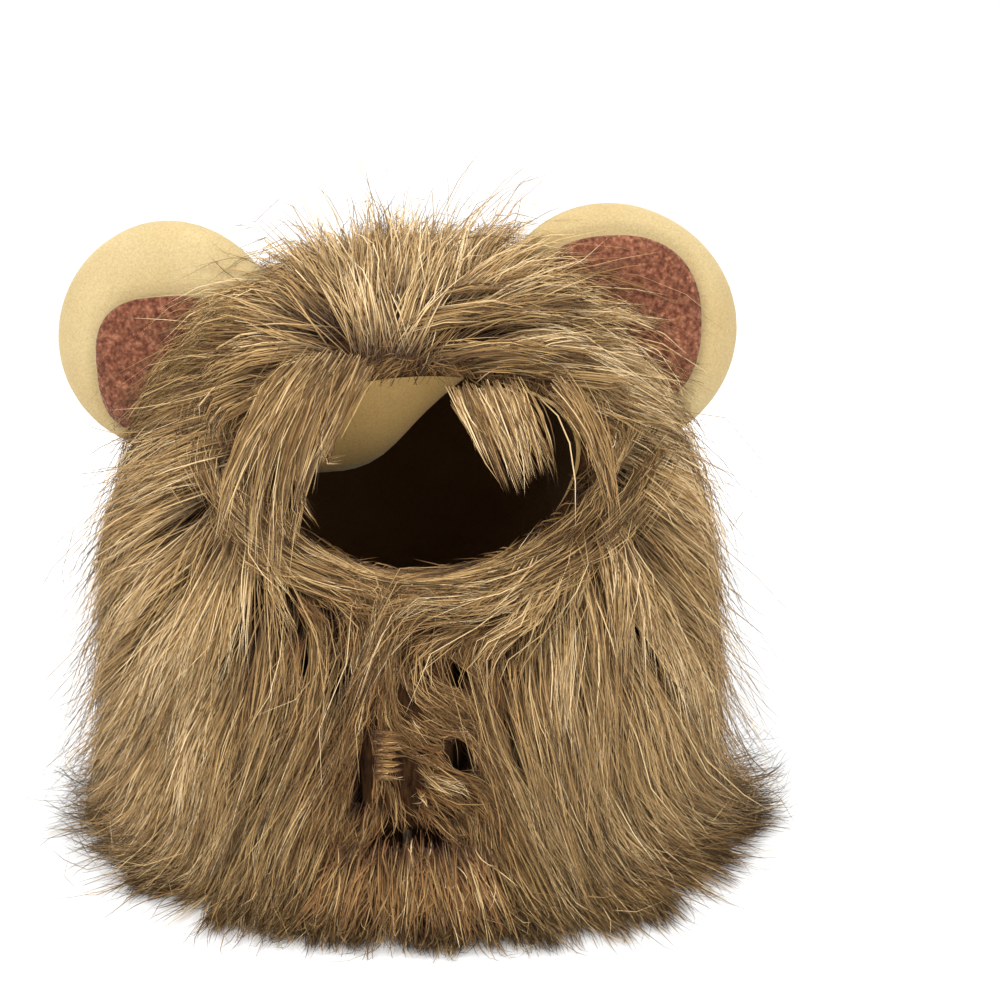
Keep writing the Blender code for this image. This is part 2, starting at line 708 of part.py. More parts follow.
def crown_locks(wobble):
    made = []
    up = np.array([0.0, 0.0, 1.0])
    for spec in CROWN_LOCKS:
        bearing = math.radians(spec["bearing"] + wobble.uniform(-4, 4))
        steps = []
        for share in (0.1, 0.55, 1.0):
            x = WHORL_X + share * spec["reach"] * MM * math.cos(bearing)
            y = WHORL_Y + share * spec["reach"] * MM * math.sin(bearing)
            steps.append(np.array([x, y, crown_height(x, y)]))
        start, middle, end = steps
        start = start - up * LOCK_SINK
        middle = middle + up * (spec["rise"] * 0.55 + 3) * MM
        end = end + up * spec["rise"] * MM
        made.append((start, middle, end, up, CROWN_LOCK_WIDTH, CROWN_LOCK_DEPTH))
    return made


def hanging_locks():
    forwards = np.array([0.0, -1.0, 0.35])
    middle = np.array([FACE_X, 0.0, FACE_Z])
    sizes = np.array([FACE_HALF_WIDTH, -HOOD_HALF_DEPTH, FACE_HALF_HEIGHT])
    made = []
    for spec in HANGING_LOCKS:
        steps = [middle + sizes * spec[key] for key in ("start", "middle", "end")]
        made.append((*steps, forwards, HANGING_WIDTH, HANGING_DEPTH))
    return made


def tuft_locks():
    made = []
    forwards = np.array([0.0, -1.0, 0.3])
    for spec in TUFT_LOCKS:
        share = fur_share(FLAP_BOTTOM - TUFT_UNDER)
        start = fur_point(front_angle(CHIN_X + spec["start"] * MM, share), share)
        hem = guide(-math.pi / 2, 0.0)[0]
        tip = np.array([CHIN_X + spec["tip"] * MM, hem[1] - TUFT_REACH, FLOOR_LIFT])
        middle = (start + tip) / 2 + np.array([0.0, -0.5, 0.5]) * TUFT_DEPTH
        root = start + np.array([0.0, 0.4, 0.0]) * TUFT_DEPTH
        made.append((root, middle, tip, forwards, TUFT_WIDTH, TUFT_DEPTH))
    return made


def flap_locks():
    made = []
    face = CHANNEL_FUR + 2 * SEWN_GAP + TAPE_WALL + FLAP_WALL
    for spec in FLAP_LOCKS:
        for side in (-1, 1):
            steps = []
            for share, lift in ((0.0, -1.2), (0.5, 1.0), (1.0, 1.0)):
                height, aside = (np.interp(share, (0, 1), ends) for ends in (
                    (spec["start"], spec["tip"]), (spec["start_side"], spec["tip_side"])))
                row = cloth_share(FLAP_BOTTOM + (FLAP_TOP - FLAP_BOTTOM) * height)
                angle = front_angle(CHIN_X + side * aside * FLAP_HALF_WIDTH, row)
                normal = cloth_normal(angle, row)
                steps.append(cloth_point(angle, row) + (face + lift * FLAP_LOCK_LIFT) * normal)
            made.append((*steps, normal, FLAP_LOCK_WIDTH, FLAP_LOCK_DEPTH))
    return made


def joined(shapes):
    """Several solids as one list of points and faces."""
    points = []
    faces = []
    count = 0
    for shape_points, shape_faces in shapes:
        points.append(shape_points)
        faces += [tuple(count + i for i in face) for face in shape_faces]
        count += len(shape_points)
    return np.vstack(points), faces


def in_front_gap(points):
    """Whether any of the points is before the face opening or before the chin's channel."""
    x, y, z = points.T
    oval = np.hypot((x - FACE_X) / FACE_HALF_WIDTH, (z - FACE_Z) / FACE_HALF_HEIGHT)
    chin = (np.abs(x - CHIN_X) < CHANNEL_HALF_WIDTH) & (z < FACE_Z)
    return ((y < 0) & ((oval < 1) | chin)).any()


def main():
    clear_scene()
    pieces = collection("lion_mane_wig", False)
    cutters = collection("cutters", True)
    wobble = np.random.default_rng(16)

    face_tunnel = solid("face_tunnel", *oval_tunnel(-CUT_AHEAD, -CUT_INTO), cutters)
    slit = solid("chin_slit", *box((CHIN_X - SLIT_WIDTH / 2, -CUT_AHEAD, -CUT_BELOW),
                                   (CHIN_X + SLIT_WIDTH / 2, -CUT_INTO, FACE_Z)), cutters)
    under_ear = solid("under_ear", *block(cloth_grid(CLOTH_WALL + EAR_POCKET), CUT_BELOW), cutters)
    over_cloth = solid("over_cloth", *block(cloth_grid(CLOTH_WALL), CUT_BELOW), cutters)

    lining_faces = [sagged(cloth_grid(-inwards, HEM_LIFT)) for inwards in (SEWN_GAP, SEWN_GAP + LINING_WALL)]
    lining = solid("hood_lining", *shell(*lining_faces), pieces, material("lining_plush"))
    boolean(lining, face_tunnel, "DIFFERENCE")
    boolean(lining, slit, "DIFFERENCE")

    mane = solid("fur_mane", *shell(fur_grid(), cloth_grid(0.0)), pieces, material("fur"))
    boolean(mane, face_tunnel, "DIFFERENCE")
    boolean(mane, slit, "DIFFERENCE")

    cream = material("cream_plush")
    fleece = material("brown_fleece")
    for ear in EARS:
        name = ear["name"]
        patch_room = PATCH_WALL + SEWN_GAP + EAR_POCKET
        pocket = solid(f"{name}_pocket", *ear_solid(ear, EAR_POCKET, patch_room), cutters)
        boolean(pocket, over_cloth, "DIFFERENCE")
        boolean(mane, pocket, "DIFFERENCE")
        piece = solid(f"{name}_ear", *ear_solid(ear), pieces, cream)
        boolean(piece, under_ear, "DIFFERENCE")
        patch = solid(f"{name}_ear_inner", *patch_solid(ear), pieces, fleece)
        boolean(patch, under_ear, "DIFFERENCE")

    shapes = [lock(*spec) for spec in body_locks(wobble) + rim_locks(wobble)]
    shapes = [shape for shape in shapes if not in_front_gap(shape[0])]
    shapes += [lock(*spec) for spec in crown_locks(wobble) + hanging_locks() + tuft_locks()]
    shapes = [shape for shape in shapes if not near_ear(shape[0], 1.5 * MM)]
    print(len(shapes), "locks")
    locks = solid("locks", *joined(shapes), cutters)
    boolean(mane, locks, "UNION", overlapping=True)

    tape_near = CHANNEL_FUR + SEWN_GAP
    flap_near = tape_near + TAPE_WALL + SEWN_GAP
    tape_shape = front_slab(TAPE_HALF_WIDTH, TAPE_BOTTOM, TAPE_TOP, tape_near, TAPE_WALL)
    solid("closure_tape", *tape_shape, pieces, material("tape"))
    flap_shape = front_slab(FLAP_HALF_WIDTH, FLAP_BOTTOM, FLAP_TOP, flap_near, FLAP_WALL)
    flap = solid("chin_flap", *flap_shape, pieces, material("flap_fur"))
    flap_fur = solid("flap_fur", *joined([lock(*spec) for spec in flap_locks()]), cutters)
    boolean(flap, flap_fur, "UNION", overlapping=True)


main()
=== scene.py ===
import json
import math

import bpy
import numpy as np
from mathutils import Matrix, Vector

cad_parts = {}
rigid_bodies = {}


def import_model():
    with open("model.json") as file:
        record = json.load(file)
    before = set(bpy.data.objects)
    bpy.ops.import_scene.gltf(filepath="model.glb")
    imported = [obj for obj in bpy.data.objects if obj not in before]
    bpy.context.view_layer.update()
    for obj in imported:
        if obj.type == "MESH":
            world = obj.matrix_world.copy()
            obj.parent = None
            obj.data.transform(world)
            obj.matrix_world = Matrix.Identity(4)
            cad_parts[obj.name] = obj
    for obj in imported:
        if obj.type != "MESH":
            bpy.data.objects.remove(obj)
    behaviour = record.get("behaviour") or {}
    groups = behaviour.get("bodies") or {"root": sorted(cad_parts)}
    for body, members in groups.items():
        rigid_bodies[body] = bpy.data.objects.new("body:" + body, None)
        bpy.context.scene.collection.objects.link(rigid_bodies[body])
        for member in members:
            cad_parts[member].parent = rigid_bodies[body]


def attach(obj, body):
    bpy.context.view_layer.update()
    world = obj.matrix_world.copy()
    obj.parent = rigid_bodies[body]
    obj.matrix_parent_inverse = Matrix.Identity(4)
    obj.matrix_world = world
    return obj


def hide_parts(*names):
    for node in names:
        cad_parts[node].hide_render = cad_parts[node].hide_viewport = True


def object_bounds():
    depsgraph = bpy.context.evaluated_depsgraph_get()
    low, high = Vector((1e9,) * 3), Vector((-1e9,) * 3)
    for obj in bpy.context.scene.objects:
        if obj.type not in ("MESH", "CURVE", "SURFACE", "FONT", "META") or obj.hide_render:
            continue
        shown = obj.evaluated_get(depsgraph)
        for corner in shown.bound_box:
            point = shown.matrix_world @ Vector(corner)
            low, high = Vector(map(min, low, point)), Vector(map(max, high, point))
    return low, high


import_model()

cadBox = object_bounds()
mm = 0.001
dice = np.random.default_rng(41)
view = {"elevation": 19.0, "distance": 0.95, "lens": 108.7, "target": (0.0, 0.0, 0.106), "shiftX": 0.090, "shiftY": 0.0}
tilt = math.radians(view["elevation"])
toCamera = np.array([0.0, -math.cos(tilt), math.sin(tilt)])
pictureUp = np.array([0.0, math.sin(tilt), math.cos(tilt)])
print("lion mane wig: the frame is loaded")


def smooth(value, low, high):
    # 0 below low, 1 above high, and 3t^2 - 2t^3 between them
    t = np.clip((value - low) / (high - low), 0, 1)
    return t * t * (3 - 2 * t)


def unit(v):
    return v / np.maximum(np.linalg.norm(v, axis=-1, keepdims=True), 1e-12)


def waves(points, period, seed, count=5):
    # a soft noise from -1 to 1: the mean of a few sines of x, y and z along random directions
    toss = np.random.default_rng(seed)
    total = 0.0
    for way in unit(toss.normal(size=(count, 3))):
        turn = 2 * math.pi / period * toss.uniform(0.7, 1.4)
        total = total + np.sin(points @ way * turn + toss.uniform(0, 6.28))
    return total / count * 1.4


def newMesh(name, points, quads, triangles=None, uv=None, soft=True):
    # points (n, 3), quads (m, 4), triangles (k, 3) and one uv for each point go in as whole arrays
    if triangles is None:
        triangles = np.zeros((0, 3), int)
    corners = np.concatenate([np.reshape(quads, -1), np.reshape(triangles, -1)]).astype(np.int32)
    sizes = np.concatenate([np.full(len(quads), 4), np.full(len(triangles), 3)]).astype(np.int32)
    starts = np.concatenate([[0], np.cumsum(sizes)[:-1]]).astype(np.int32)
    mesh = bpy.data.meshes.new(name)
    mesh.vertices.add(len(points))
    mesh.vertices.foreach_set("co", np.ascontiguousarray(points, np.float32).ravel())
    mesh.loops.add(len(corners))
    mesh.loops.foreach_set("vertex_index", corners)
    mesh.polygons.add(len(sizes))
    mesh.polygons.foreach_set("loop_start", starts)
    mesh.polygons.foreach_set("use_smooth", np.full(len(sizes), soft))
    mesh.update(calc_edges=True)
    mesh.validate()
    if uv is not None:
        layer = mesh.uv_layers.new(name="OFBake")
        layer.uv.foreach_set("vector", np.ascontiguousarray(uv[corners], np.float32).ravel())
    made = bpy.data.objects.new(name, mesh)
    bpy.context.scene.collection.objects.link(made)
    return made


def gridQuads(rows, columns, wrap=False, start=0):
    # the quads between neighbouring points of a grid that is stored row by row
    r, c = np.meshgrid(np.arange(rows - 1), np.arange(columns if wrap else columns - 1), indexing="ij")
    after = (c + 1) % columns
    return np.stack([r * columns + c, r * columns + after, (r + 1) * columns + after,
                     (r + 1) * columns + c], axis=-1).reshape(-1, 4) + start


def closedSheet(name, outer, inner):
    # two grids of one size, back to back, with a band of quads round their four edges
    rows, columns = outer.shape[:2]
    count = rows * columns
    front = gridQuads(rows, columns)
    back = front[:, ::-1] + count
    index = np.arange(count).reshape(rows, columns)
    loop = np.concatenate([index[0, :-1], index[:-1, -1], index[-1, :0:-1], index[:0:-1, 0]])
    after = np.roll(loop, -1)
    band = np.stack([after, loop, loop + count, after + count], axis=-1)
    return newMesh(name, np.concatenate([outer.reshape(-1, 3), inner.reshape(-1, 3)]),
                   np.concatenate([front, back, band]))


def outwards(piece):
    # turns the faces round if they close the piece inside out
    mesh = piece.data
    mesh.calc_loop_triangles()
    corners = np.empty(len(mesh.loop_triangles) * 3, np.int32)
    mesh.loop_triangles.foreach_get("vertices", corners)
    points = np.empty(len(mesh.vertices) * 3, np.float32)
    mesh.vertices.foreach_get("co", points)
    a, b, c = points.reshape(-1, 3)[corners.reshape(-1, 3)].transpose(1, 0, 2).astype(float)
    if np.einsum("ij,ij->", a, np.cross(b, c)) < 0:
        mesh.flip_normals()
    return piece


def newMaterial(name, colour, roughness, sheen=0.0, sheenTint=(1, 1, 1), specular=0.3):
    made = bpy.data.materials.new(name)
    made.use_nodes = True
    made.diffuse_color = (*colour, 1)
    nodes = made.node_tree.nodes
    shader = nodes["Principled BSDF"]
    shader.inputs["Base Color"].default_value = (*colour, 1)
    shader.inputs["Roughness"].default_value = roughness
    shader.inputs["Specular IOR Level"].default_value = specular
    shader.inputs["Sheen Weight"].default_value = sheen
    shader.inputs["Sheen Roughness"].default_value = 0.45
    shader.inputs["Sheen Tint"].default_value = (*sheenTint, 1)
    return made, nodes, made.node_tree.links, shader


def ramp(nodes, links, source, stops):
    node = nodes.new("ShaderNodeValToRGB")
    band = node.color_ramp
    while len(band.elements) < len(stops):
        band.elements.new(0.5)
    for element, (place, colour) in zip(band.elements, stops):
        element.position = place
        element.color = (*colour, 1) if len(colour) == 3 else colour
    links.new(source, node.inputs["Fac"])
    return node.outputs["Color"]


def mixed(nodes, links, factor, first, second, blend="MIX"):
    node = nodes.new("ShaderNodeMix")
    node.data_type = "RGBA"
    node.blend_type = blend
    for socket, value in ((node.inputs[0], factor), (node.inputs[6], first), (node.inputs[7], second)):
        if hasattr(value, "is_output"):
            links.new(value, socket)
        else:
            socket.default_value = value
    return node.outputs[2]


def noise(nodes, links, scale, detail=3.0, rough=0.55, stretch=(1, 1, 1)):
    place = nodes.new("ShaderNodeTexCoord")
    turn = nodes.new("ShaderNodeMapping")
    turn.inputs["Scale"].default_value = stretch
    made = nodes.new("ShaderNodeTexNoise")
    made.inputs["Scale"].default_value = scale
    made.inputs["Detail"].default_value = detail
    made.inputs["Roughness"].default_value = rough
    links.new(place.outputs["Object"], turn.inputs["Vector"])
    links.new(turn.outputs["Vector"], made.inputs["Vector"])
    return made.outputs["Fac"]


def bumped(nodes, links, shader, sources, distance):
    # adds up height sources, each (socket, strength), one bump on the next
    last = None
    for source, strength in sources:
        node = nodes.new("ShaderNodeBump")
        node.inputs["Strength"].default_value = strength
        node.inputs["Distance"].default_value = distance
        links.new(source, node.inputs["Height"])
        if last is not None:
            links.new(last, node.inputs["Normal"])
        last = node.outputs["Normal"]
    links.new(last, shader.inputs["Normal"])


furLook = {
    "roots": ((0.0, (0.045, 0.017, 0.006)), (0.5, (0.045, 0.017, 0.006)), (0.72, (0.022, 0.009, 0.004)),
              (0.88, (0.04, 0.017, 0.006)), (1.0, (0.09, 0.030, 0.008))),
    "middles": ((0.0, (0.74, 0.54, 0.29)), (0.3, (0.47, 0.30, 0.118)), (0.55, (0.27, 0.15, 0.048)),
                (0.72, (0.10, 0.048, 0.015)), (0.86, (0.37, 0.23, 0.09)), (1.0, (0.25, 0.11, 0.029))),
    "tips": ((0.0, (0.86, 0.68, 0.42)), (0.3, (0.55, 0.37, 0.158)), (0.55, (0.30, 0.165, 0.056)),
             (0.70, (0.07, 0.032, 0.011)), (0.80, (0.010, 0.007, 0.005)), (0.91, (0.010, 0.007, 0.005)),
             (1.0, (0.19, 0.08, 0.022))),
    "roughness": 0.6,
    "sheen": 0.05,
}


def furMaterial():
    # u is a strand's tone and v the way from its root to its tip: root, middle and tip colours by u,
    # run into one another by v
    made, nodes, links, shader = newMaterial("mane_fur", (0.42, 0.28, 0.13), furLook["roughness"],
                                             furLook["sheen"], (1.0, 0.85, 0.6), 0.22)
    chart = nodes.new("ShaderNodeUVMap")
    chart.uv_map = "OFBake"
    parts = nodes.new("ShaderNodeSeparateXYZ")
    links.new(chart.outputs["UV"], parts.inputs["Vector"])
    tone, along = parts.outputs["X"], parts.outputs["Y"]
    roots, middles, tips = (ramp(nodes, links, tone, furLook[key]) for key in ("roots", "middles", "tips"))
    up = ramp(nodes, links, along, ((0.05, (0, 0, 0)), (0.42, (1, 1, 1))))
    out = ramp(nodes, links, along, ((0.52, (0, 0, 0)), (0.86, (1, 1, 1))))
    colour = mixed(nodes, links, out, mixed(nodes, links, up, roots, middles), tips)
    links.new(colour, shader.inputs["Base Color"])
    return made


undercoatLook = {"dark": (0.018, 0.008, 0.004), "light": (0.085, 0.040, 0.015), "roughness": 0.9}


def undercoatMaterial():
    # short dense fibre under the strands: fine noise drawn out along Z
    made, nodes, links, shader = newMaterial("fur_undercoat", undercoatLook["light"], undercoatLook["roughness"],
                                             0.0, (1, 1, 1), 0.08)
    fibre = noise(nodes, links, 900, 3, 0.6, (1, 1, 0.12))
    patches = noise(nodes, links, 60, 3, 0.6)
    colour = ramp(nodes, links, fibre, ((0.35, undercoatLook["dark"]), (0.68, undercoatLook["light"])))
    shade = ramp(nodes, links, patches, ((0.3, (0.55, 0.5, 0.45)), (0.7, (1.15, 1.1, 1.0))))
    links.new(mixed(nodes, links, 1.0, colour, shade, "MULTIPLY"), shader.inputs["Base Color"])
    bumped(nodes, links, shader, ((patches, 0.6), (fibre, 0.8)), 0.0012)
    return made


# shadow is painted shade, used only for the lining's dark inside
plushLook = {"colour": (0.535, 0.42, 0.222), "shade": (0.465, 0.345, 0.165), "shadow": (0.12, 0.085, 0.06),
             "roughness": 0.93}


def plushMaterial(name, colour, shade, inside=None):
    # short cut pile: fine specks for the pile, a faint knit behind it, and slow changes of tone. With inside
    # it carries painted shade for the hood's dark inside: darker downwards (z), and to the back and the right (y +
    # slant x), in m
    made, nodes, links, shader = newMaterial(name, colour, plushLook["roughness"], 0.35, (1.0, 0.92, 0.7), 0.12)
    pile = noise(nodes, links, 1500, 2, 0.7)
    nap = noise(nodes, links, 260, 3, 0.6)
    slow = noise(nodes, links, 38, 2, 0.5)
    base = ramp(nodes, links, slow, ((0.3, shade), (0.7, colour)))
    speck = ramp(nodes, links, pile, ((0.25, (0.80, 0.78, 0.74)), (0.7, (1.06, 1.06, 1.05))))
    look = mixed(nodes, links, 1.0, base, speck, "MULTIPLY")
    if inside is not None:
        place = nodes.new("ShaderNodeTexCoord")
        parts = nodes.new("ShaderNodeSeparateXYZ")
        links.new(place.outputs["Object"], parts.inputs["Vector"])
        back = nodes.new("ShaderNodeMath")
        back.operation = "MULTIPLY_ADD"
        back.inputs[1].default_value = inside["slant"]
        links.new(parts.outputs["X"], back.inputs[0])
        links.new(parts.outputs["Y"], back.inputs[2])
        shares = []
        for source, key in ((parts.outputs["Z"], "up"), (back.outputs[0], "back")):
            share = nodes.new("ShaderNodeMapRange")
            share.interpolation_type = "SMOOTHSTEP"
            share.inputs["From Min"].default_value, share.inputs["From Max"].default_value = inside[key]
            links.new(source, share.inputs["Value"])
            shares.append(share.outputs["Result"])
        lit = nodes.new("ShaderNodeMath")
        lit.operation = "MULTIPLY"
        links.new(shares[0], lit.inputs[0])
        links.new(shares[1], lit.inputs[1])
        # painted shade: the lining is multiplied down to the shadow colour below and behind where light comes in
        # through the opening
        shadow = ramp(nodes, links, lit.outputs[0], ((0.0, plushLook["shadow"]), (1.0, (1, 1, 1))))
        look = mixed(nodes, links, 1.0, look, shadow, "MULTIPLY")
    links.new(look, shader.inputs["Base Color"])
    bumped(nodes, links, shader, ((nap, 0.35), (pile, 0.45)), 0.0006)
    return made


fleeceLook = {"dark": (0.100, 0.031, 0.018), "mid": (0.205, 0.072, 0.038), "light": (0.36, 0.155, 0.088)}


def fleeceMaterial():
    # curled short fleece: rounded cells with dark gaps, each a little lighter or darker
    made, nodes, links, shader = newMaterial("brown_fleece", fleeceLook["mid"], 0.92, 0.3, (1.0, 0.75, 0.6), 0.12)
    place = nodes.new("ShaderNodeTexCoord")
    cells = nodes.new("ShaderNodeTexVoronoi")
    cells.feature = "SMOOTH_F1"
    cells.inputs["Scale"].default_value = 900
    cells.inputs["Smoothness"].default_value = 0.6
    links.new(place.outputs["Object"], cells.inputs["Vector"])
    mottle = noise(nodes, links, 480, 4, 0.65)
    slow = noise(nodes, links, 45, 2, 0.5)
    base = ramp(nodes, links, mottle, ((0.34, fleeceLook["dark"]), (0.5, fleeceLook["mid"]), (0.68, fleeceLook["light"])))
    pits = ramp(nodes, links, cells.outputs["Distance"], ((0.2, (1.12, 1.1, 1.08)), (0.75, (0.62, 0.58, 0.56))))
    shade = ramp(nodes, links, slow, ((0.3, (0.82, 0.80, 0.80)), (0.7, (1.1, 1.1, 1.1))))
    links.new(mixed(nodes, links, 1.0, mixed(nodes, links, 1.0, base, pits, "MULTIPLY"), shade, "MULTIPLY"),
              shader.inputs["Base Color"])
    bumped(nodes, links, shader, ((mottle, 0.6), (cells.outputs["Distance"], 0.6)), 0.0009)
    return made


def tapeMaterial():
    # rows of little hooks on dark tape
    made, nodes, links, shader = newMaterial("hook_tape", (0.05, 0.045, 0.04), 0.8, 0.1)
    place = nodes.new("ShaderNodeTexCoord")
    hooks = nodes.new("ShaderNodeTexVoronoi")
    hooks.inputs["Scale"].default_value = 900
    links.new(place.outputs["Object"], hooks.inputs["Vector"])
    links.new(ramp(nodes, links, hooks.outputs["Distance"], ((0.1, (0.09, 0.08, 0.07)), (0.6, (0.02, 0.018, 0.016)))),
              shader.inputs["Base Color"])
    bumped(nodes, links, shader, ((hooks.outputs["Distance"], 0.7),), 0.0006)
    return made


fur = furMaterial()
undercoat = undercoatMaterial()
cream = plushMaterial("cream_plush", plushLook["colour"], plushLook["shade"])
# the lining: cream plush with painted shade for the hood's dark inside
liningPlush = plushMaterial("lining_plush", (0.78, 0.52, 0.20), (0.66, 0.42, 0.14),
                            {"slant": 0.15, "up": (0.092, 0.140), "back": (0.036, -0.004)})
fleece = fleeceMaterial()
hookTape = tapeMaterial()
print("materials: fur, undercoat, plush, lining, fleece, tape")


hood = {
    "clothSize": (0.176, 0.068, 0.062),  # height, half width, half depth
    "furSize": (0.186, 0.097, 0.088),
    "clothRows": np.array([
        (0.000, 1.000, 1.000), (0.080, 0.990, 0.990), (0.230, 0.970, 0.970), (0.380, 0.945, 0.950),
        (0.510, 0.915, 0.920), (0.630, 0.890, 0.890), (0.740, 0.850, 0.835), (0.850, 0.760, 0.730),
        (0.930, 0.590, 0.560), (0.982, 0.320, 0.310), (1.000, 0.000, 0.000)]),
    "furRows": np.array([
        (0.000, 1.000, 1.000), (0.080, 0.990, 0.980), (0.210, 0.975, 0.955), (0.350, 0.965, 0.925),
        (0.490, 0.945, 0.885), (0.610, 0.905, 0.830), (0.730, 0.815, 0.745), (0.840, 0.665, 0.625),
        (0.930, 0.480, 0.460), (0.982, 0.265, 0.260), (1.000, 0.000, 0.000)]),
    "face": (0.004, 0.1308), "faceHalf": (0.0482, 0.0276),
    "rimFur": 0.008, "rimReach": 0.018,
    "chinX": -0.001, "slit": 0.003,
    "channelFur": 0.006, "channelHalf": 0.0155, "channelRamp": 0.007, "channelFrom": 0.012,
    "overFlap": 0.0145,  # depth of the fur over the closed flap
    "floorReach": 0.20,  # metres of floor for a map radius of 1 past the hem
}


def readRows(rows, share):
    # a smooth curve through the table's rows (Catmull-Rom), share 0 at the hem and 1 at the pole
    last = len(rows) - 1
    at = np.clip(share, 0, 1) * last
    k = np.minimum(at.astype(int), last - 1)
    f = (at - k)[..., None]
    a, b, c, d = (rows[np.clip(k + i, 0, last)] for i in (-1, 0, 1, 2))
    return 0.5 * (2 * b + (c - a) * f + (2 * a - 5 * b + 4 * c - d) * f**2 + (3 * b - a - 3 * c + d) * f**3)


def sectioned(rows, size, angle, share):
    # an ellipse at each height: x = a cos(angle), y = b sin(angle)
    height, half, deep = (np.moveaxis(readRows(rows, share), -1, 0)[i] * size[i] for i in range(3))
    return np.stack([half * np.cos(angle), deep * np.sin(angle), height], axis=-1)


def skin(mapX, mapY, deep=1.0, chinFur=hood["channelFur"]):
    # the hood unrolled on a disc: the pole is its middle, the hem its rim, and what is outside is floor.
    # deep goes from the cloth (0) to the dense fur's face (1); chinFur is the depth in the chin's channel
    radius = np.hypot(mapX, mapY)
    angle = np.arctan2(mapY, mapX)
    share = 1 - np.minimum(radius, 1)
    cloth = sectioned(hood["clothRows"], hood["clothSize"], angle, share)
    full = sectioned(hood["furRows"], hood["furSize"], angle, share)
    gap = full - cloth
    depth = np.linalg.norm(gap, axis=-1)
    front = smooth(-full[..., 1], 0.0, 0.030)
    x, z = cloth[..., 0], cloth[..., 2]
    halfWidth, halfHeight = hood["faceHalf"]
    oval = np.hypot((x - hood["face"][0]) / halfWidth, (z - hood["face"][1]) / halfHeight)
    atRim = front * (1 - smooth((oval - 1) * math.sqrt(halfWidth * halfHeight), 0.0, hood["rimReach"]))
    atChin = front * (1 - smooth(np.abs(x - hood["chinX"]), hood["channelHalf"], hood["channelHalf"] + hood["channelRamp"]))
    atChin = atChin * (1 - smooth(z, hood["face"][1] - halfHeight, hood["face"][1])) * smooth(z, 0.0, hood["channelFrom"])
    thin = np.minimum(depth * (1 - atRim) + hood["rimFur"] * atRim, depth * (1 - atChin) + chinFur * atChin)
    way = gap / np.maximum(depth, 1e-9)[..., None]
    point = cloth + way * (np.minimum(thin, depth) * deep)[..., None]
    beyond = np.maximum(radius - 1, 0) * hood["floorReach"]
    point[..., 0] += beyond * np.cos(angle)
    point[..., 1] += beyond * np.sin(angle)
    return point


def skinFrame(mapX, mapY, deep=1.0, chinFur=hood["channelFur"]):
    # the point, its two tangents by small differences, and the unit normal, which points out
    step = 1e-3
    east = (skin(mapX + step, mapY, deep, chinFur) - skin(mapX - step, mapY, deep, chinFur)) / (2 * step)
    north = (skin(mapX, mapY + step, deep, chinFur) - skin(mapX, mapY - step, deep, chinFur)) / (2 * step)
    return skin(mapX, mapY, deep, chinFur), east, north, unit(np.cross(east, north))


def shareOfHeight(z, rows, size):
    share = np.linspace(0, 1, 400)
    return np.interp(z, readRows(rows, share)[:, 0] * size[0], share)


def frontMap(x, z):
    # the place on the disc of a point on the cloth's front, from its x and z
    share = shareOfHeight(z, hood["clothRows"], hood["clothSize"])
    half = readRows(hood["clothRows"], share)[..., 1] * hood["clothSize"][1]
    angle = -np.arccos(np.clip(x / half, -1, 1))
    return (1 - share) * np.cos(angle), (1 - share) * np.sin(angle)


def hoodGrid(turns, rings, inset=0.0):
    # rays over the disc from inside the face opening: from the opening's rim (0) to the hem (1).
    # The first and the last ray are the two edges of the slit under the chin. inset holds it off the rim
    around = np.linspace(0, 2 * math.pi, 720, endpoint=False)
    rimX, rimY = frontMap(hood["face"][0] + hood["faceHalf"][0] * np.cos(around),
                          hood["face"][1] + hood["faceHalf"][1] * np.sin(around))
    midX, midY = (float(value) for value in frontMap(np.array(hood["chinX"]), np.array(hood["face"][1])))
    bearing = np.arctan2(rimY - midY, rimX - midX)
    order = np.argsort(bearing)
    ray = -math.pi / 2 + np.linspace(0, 2 * math.pi, turns)
    near = np.interp(ray, bearing[order], np.hypot(rimX - midX, rimY - midY)[order], period=2 * math.pi) + inset
    along = midX * np.cos(ray) + midY * np.sin(ray)
    far = -along + np.sqrt(along**2 + 1 - midX**2 - midY**2)
    reach = near + (far - near) * np.linspace(0, 1, rings)[:, None]
    mapX = midX + reach * np.cos(ray)
    mapY = midY + reach * np.sin(ray)
    radius = np.hypot(mapX, mapY)
    for column, side in ((0, 1), (-1, -1)):
        share = 1 - np.minimum(radius[:, column], 1)
        half = readRows(hood["clothRows"], share)[:, 1] * hood["clothSize"][1]
        angle = -np.arccos((hood["chinX"] + side * hood["slit"] / 2) / half)
        mapX[:, column] = (1 - share) * np.cos(angle)
        mapY[:, column] = (1 - share) * np.sin(angle)
    return mapX, mapY


lining = {
    "gap": 0.0003, "wall": 0.0016, "hem": 0.0005, "inset": 0.014,
    "cut": (0.41, 0.20),  # round the neck, and from the hem to the crown
    "sagDrop": 0.056, "sagAt": (-0.020, 0.004), "sagHalf": (0.042, 0.018), "sagFrom": 0.128, "sagFade": 0.024,
    "creases": 0.0012,
}


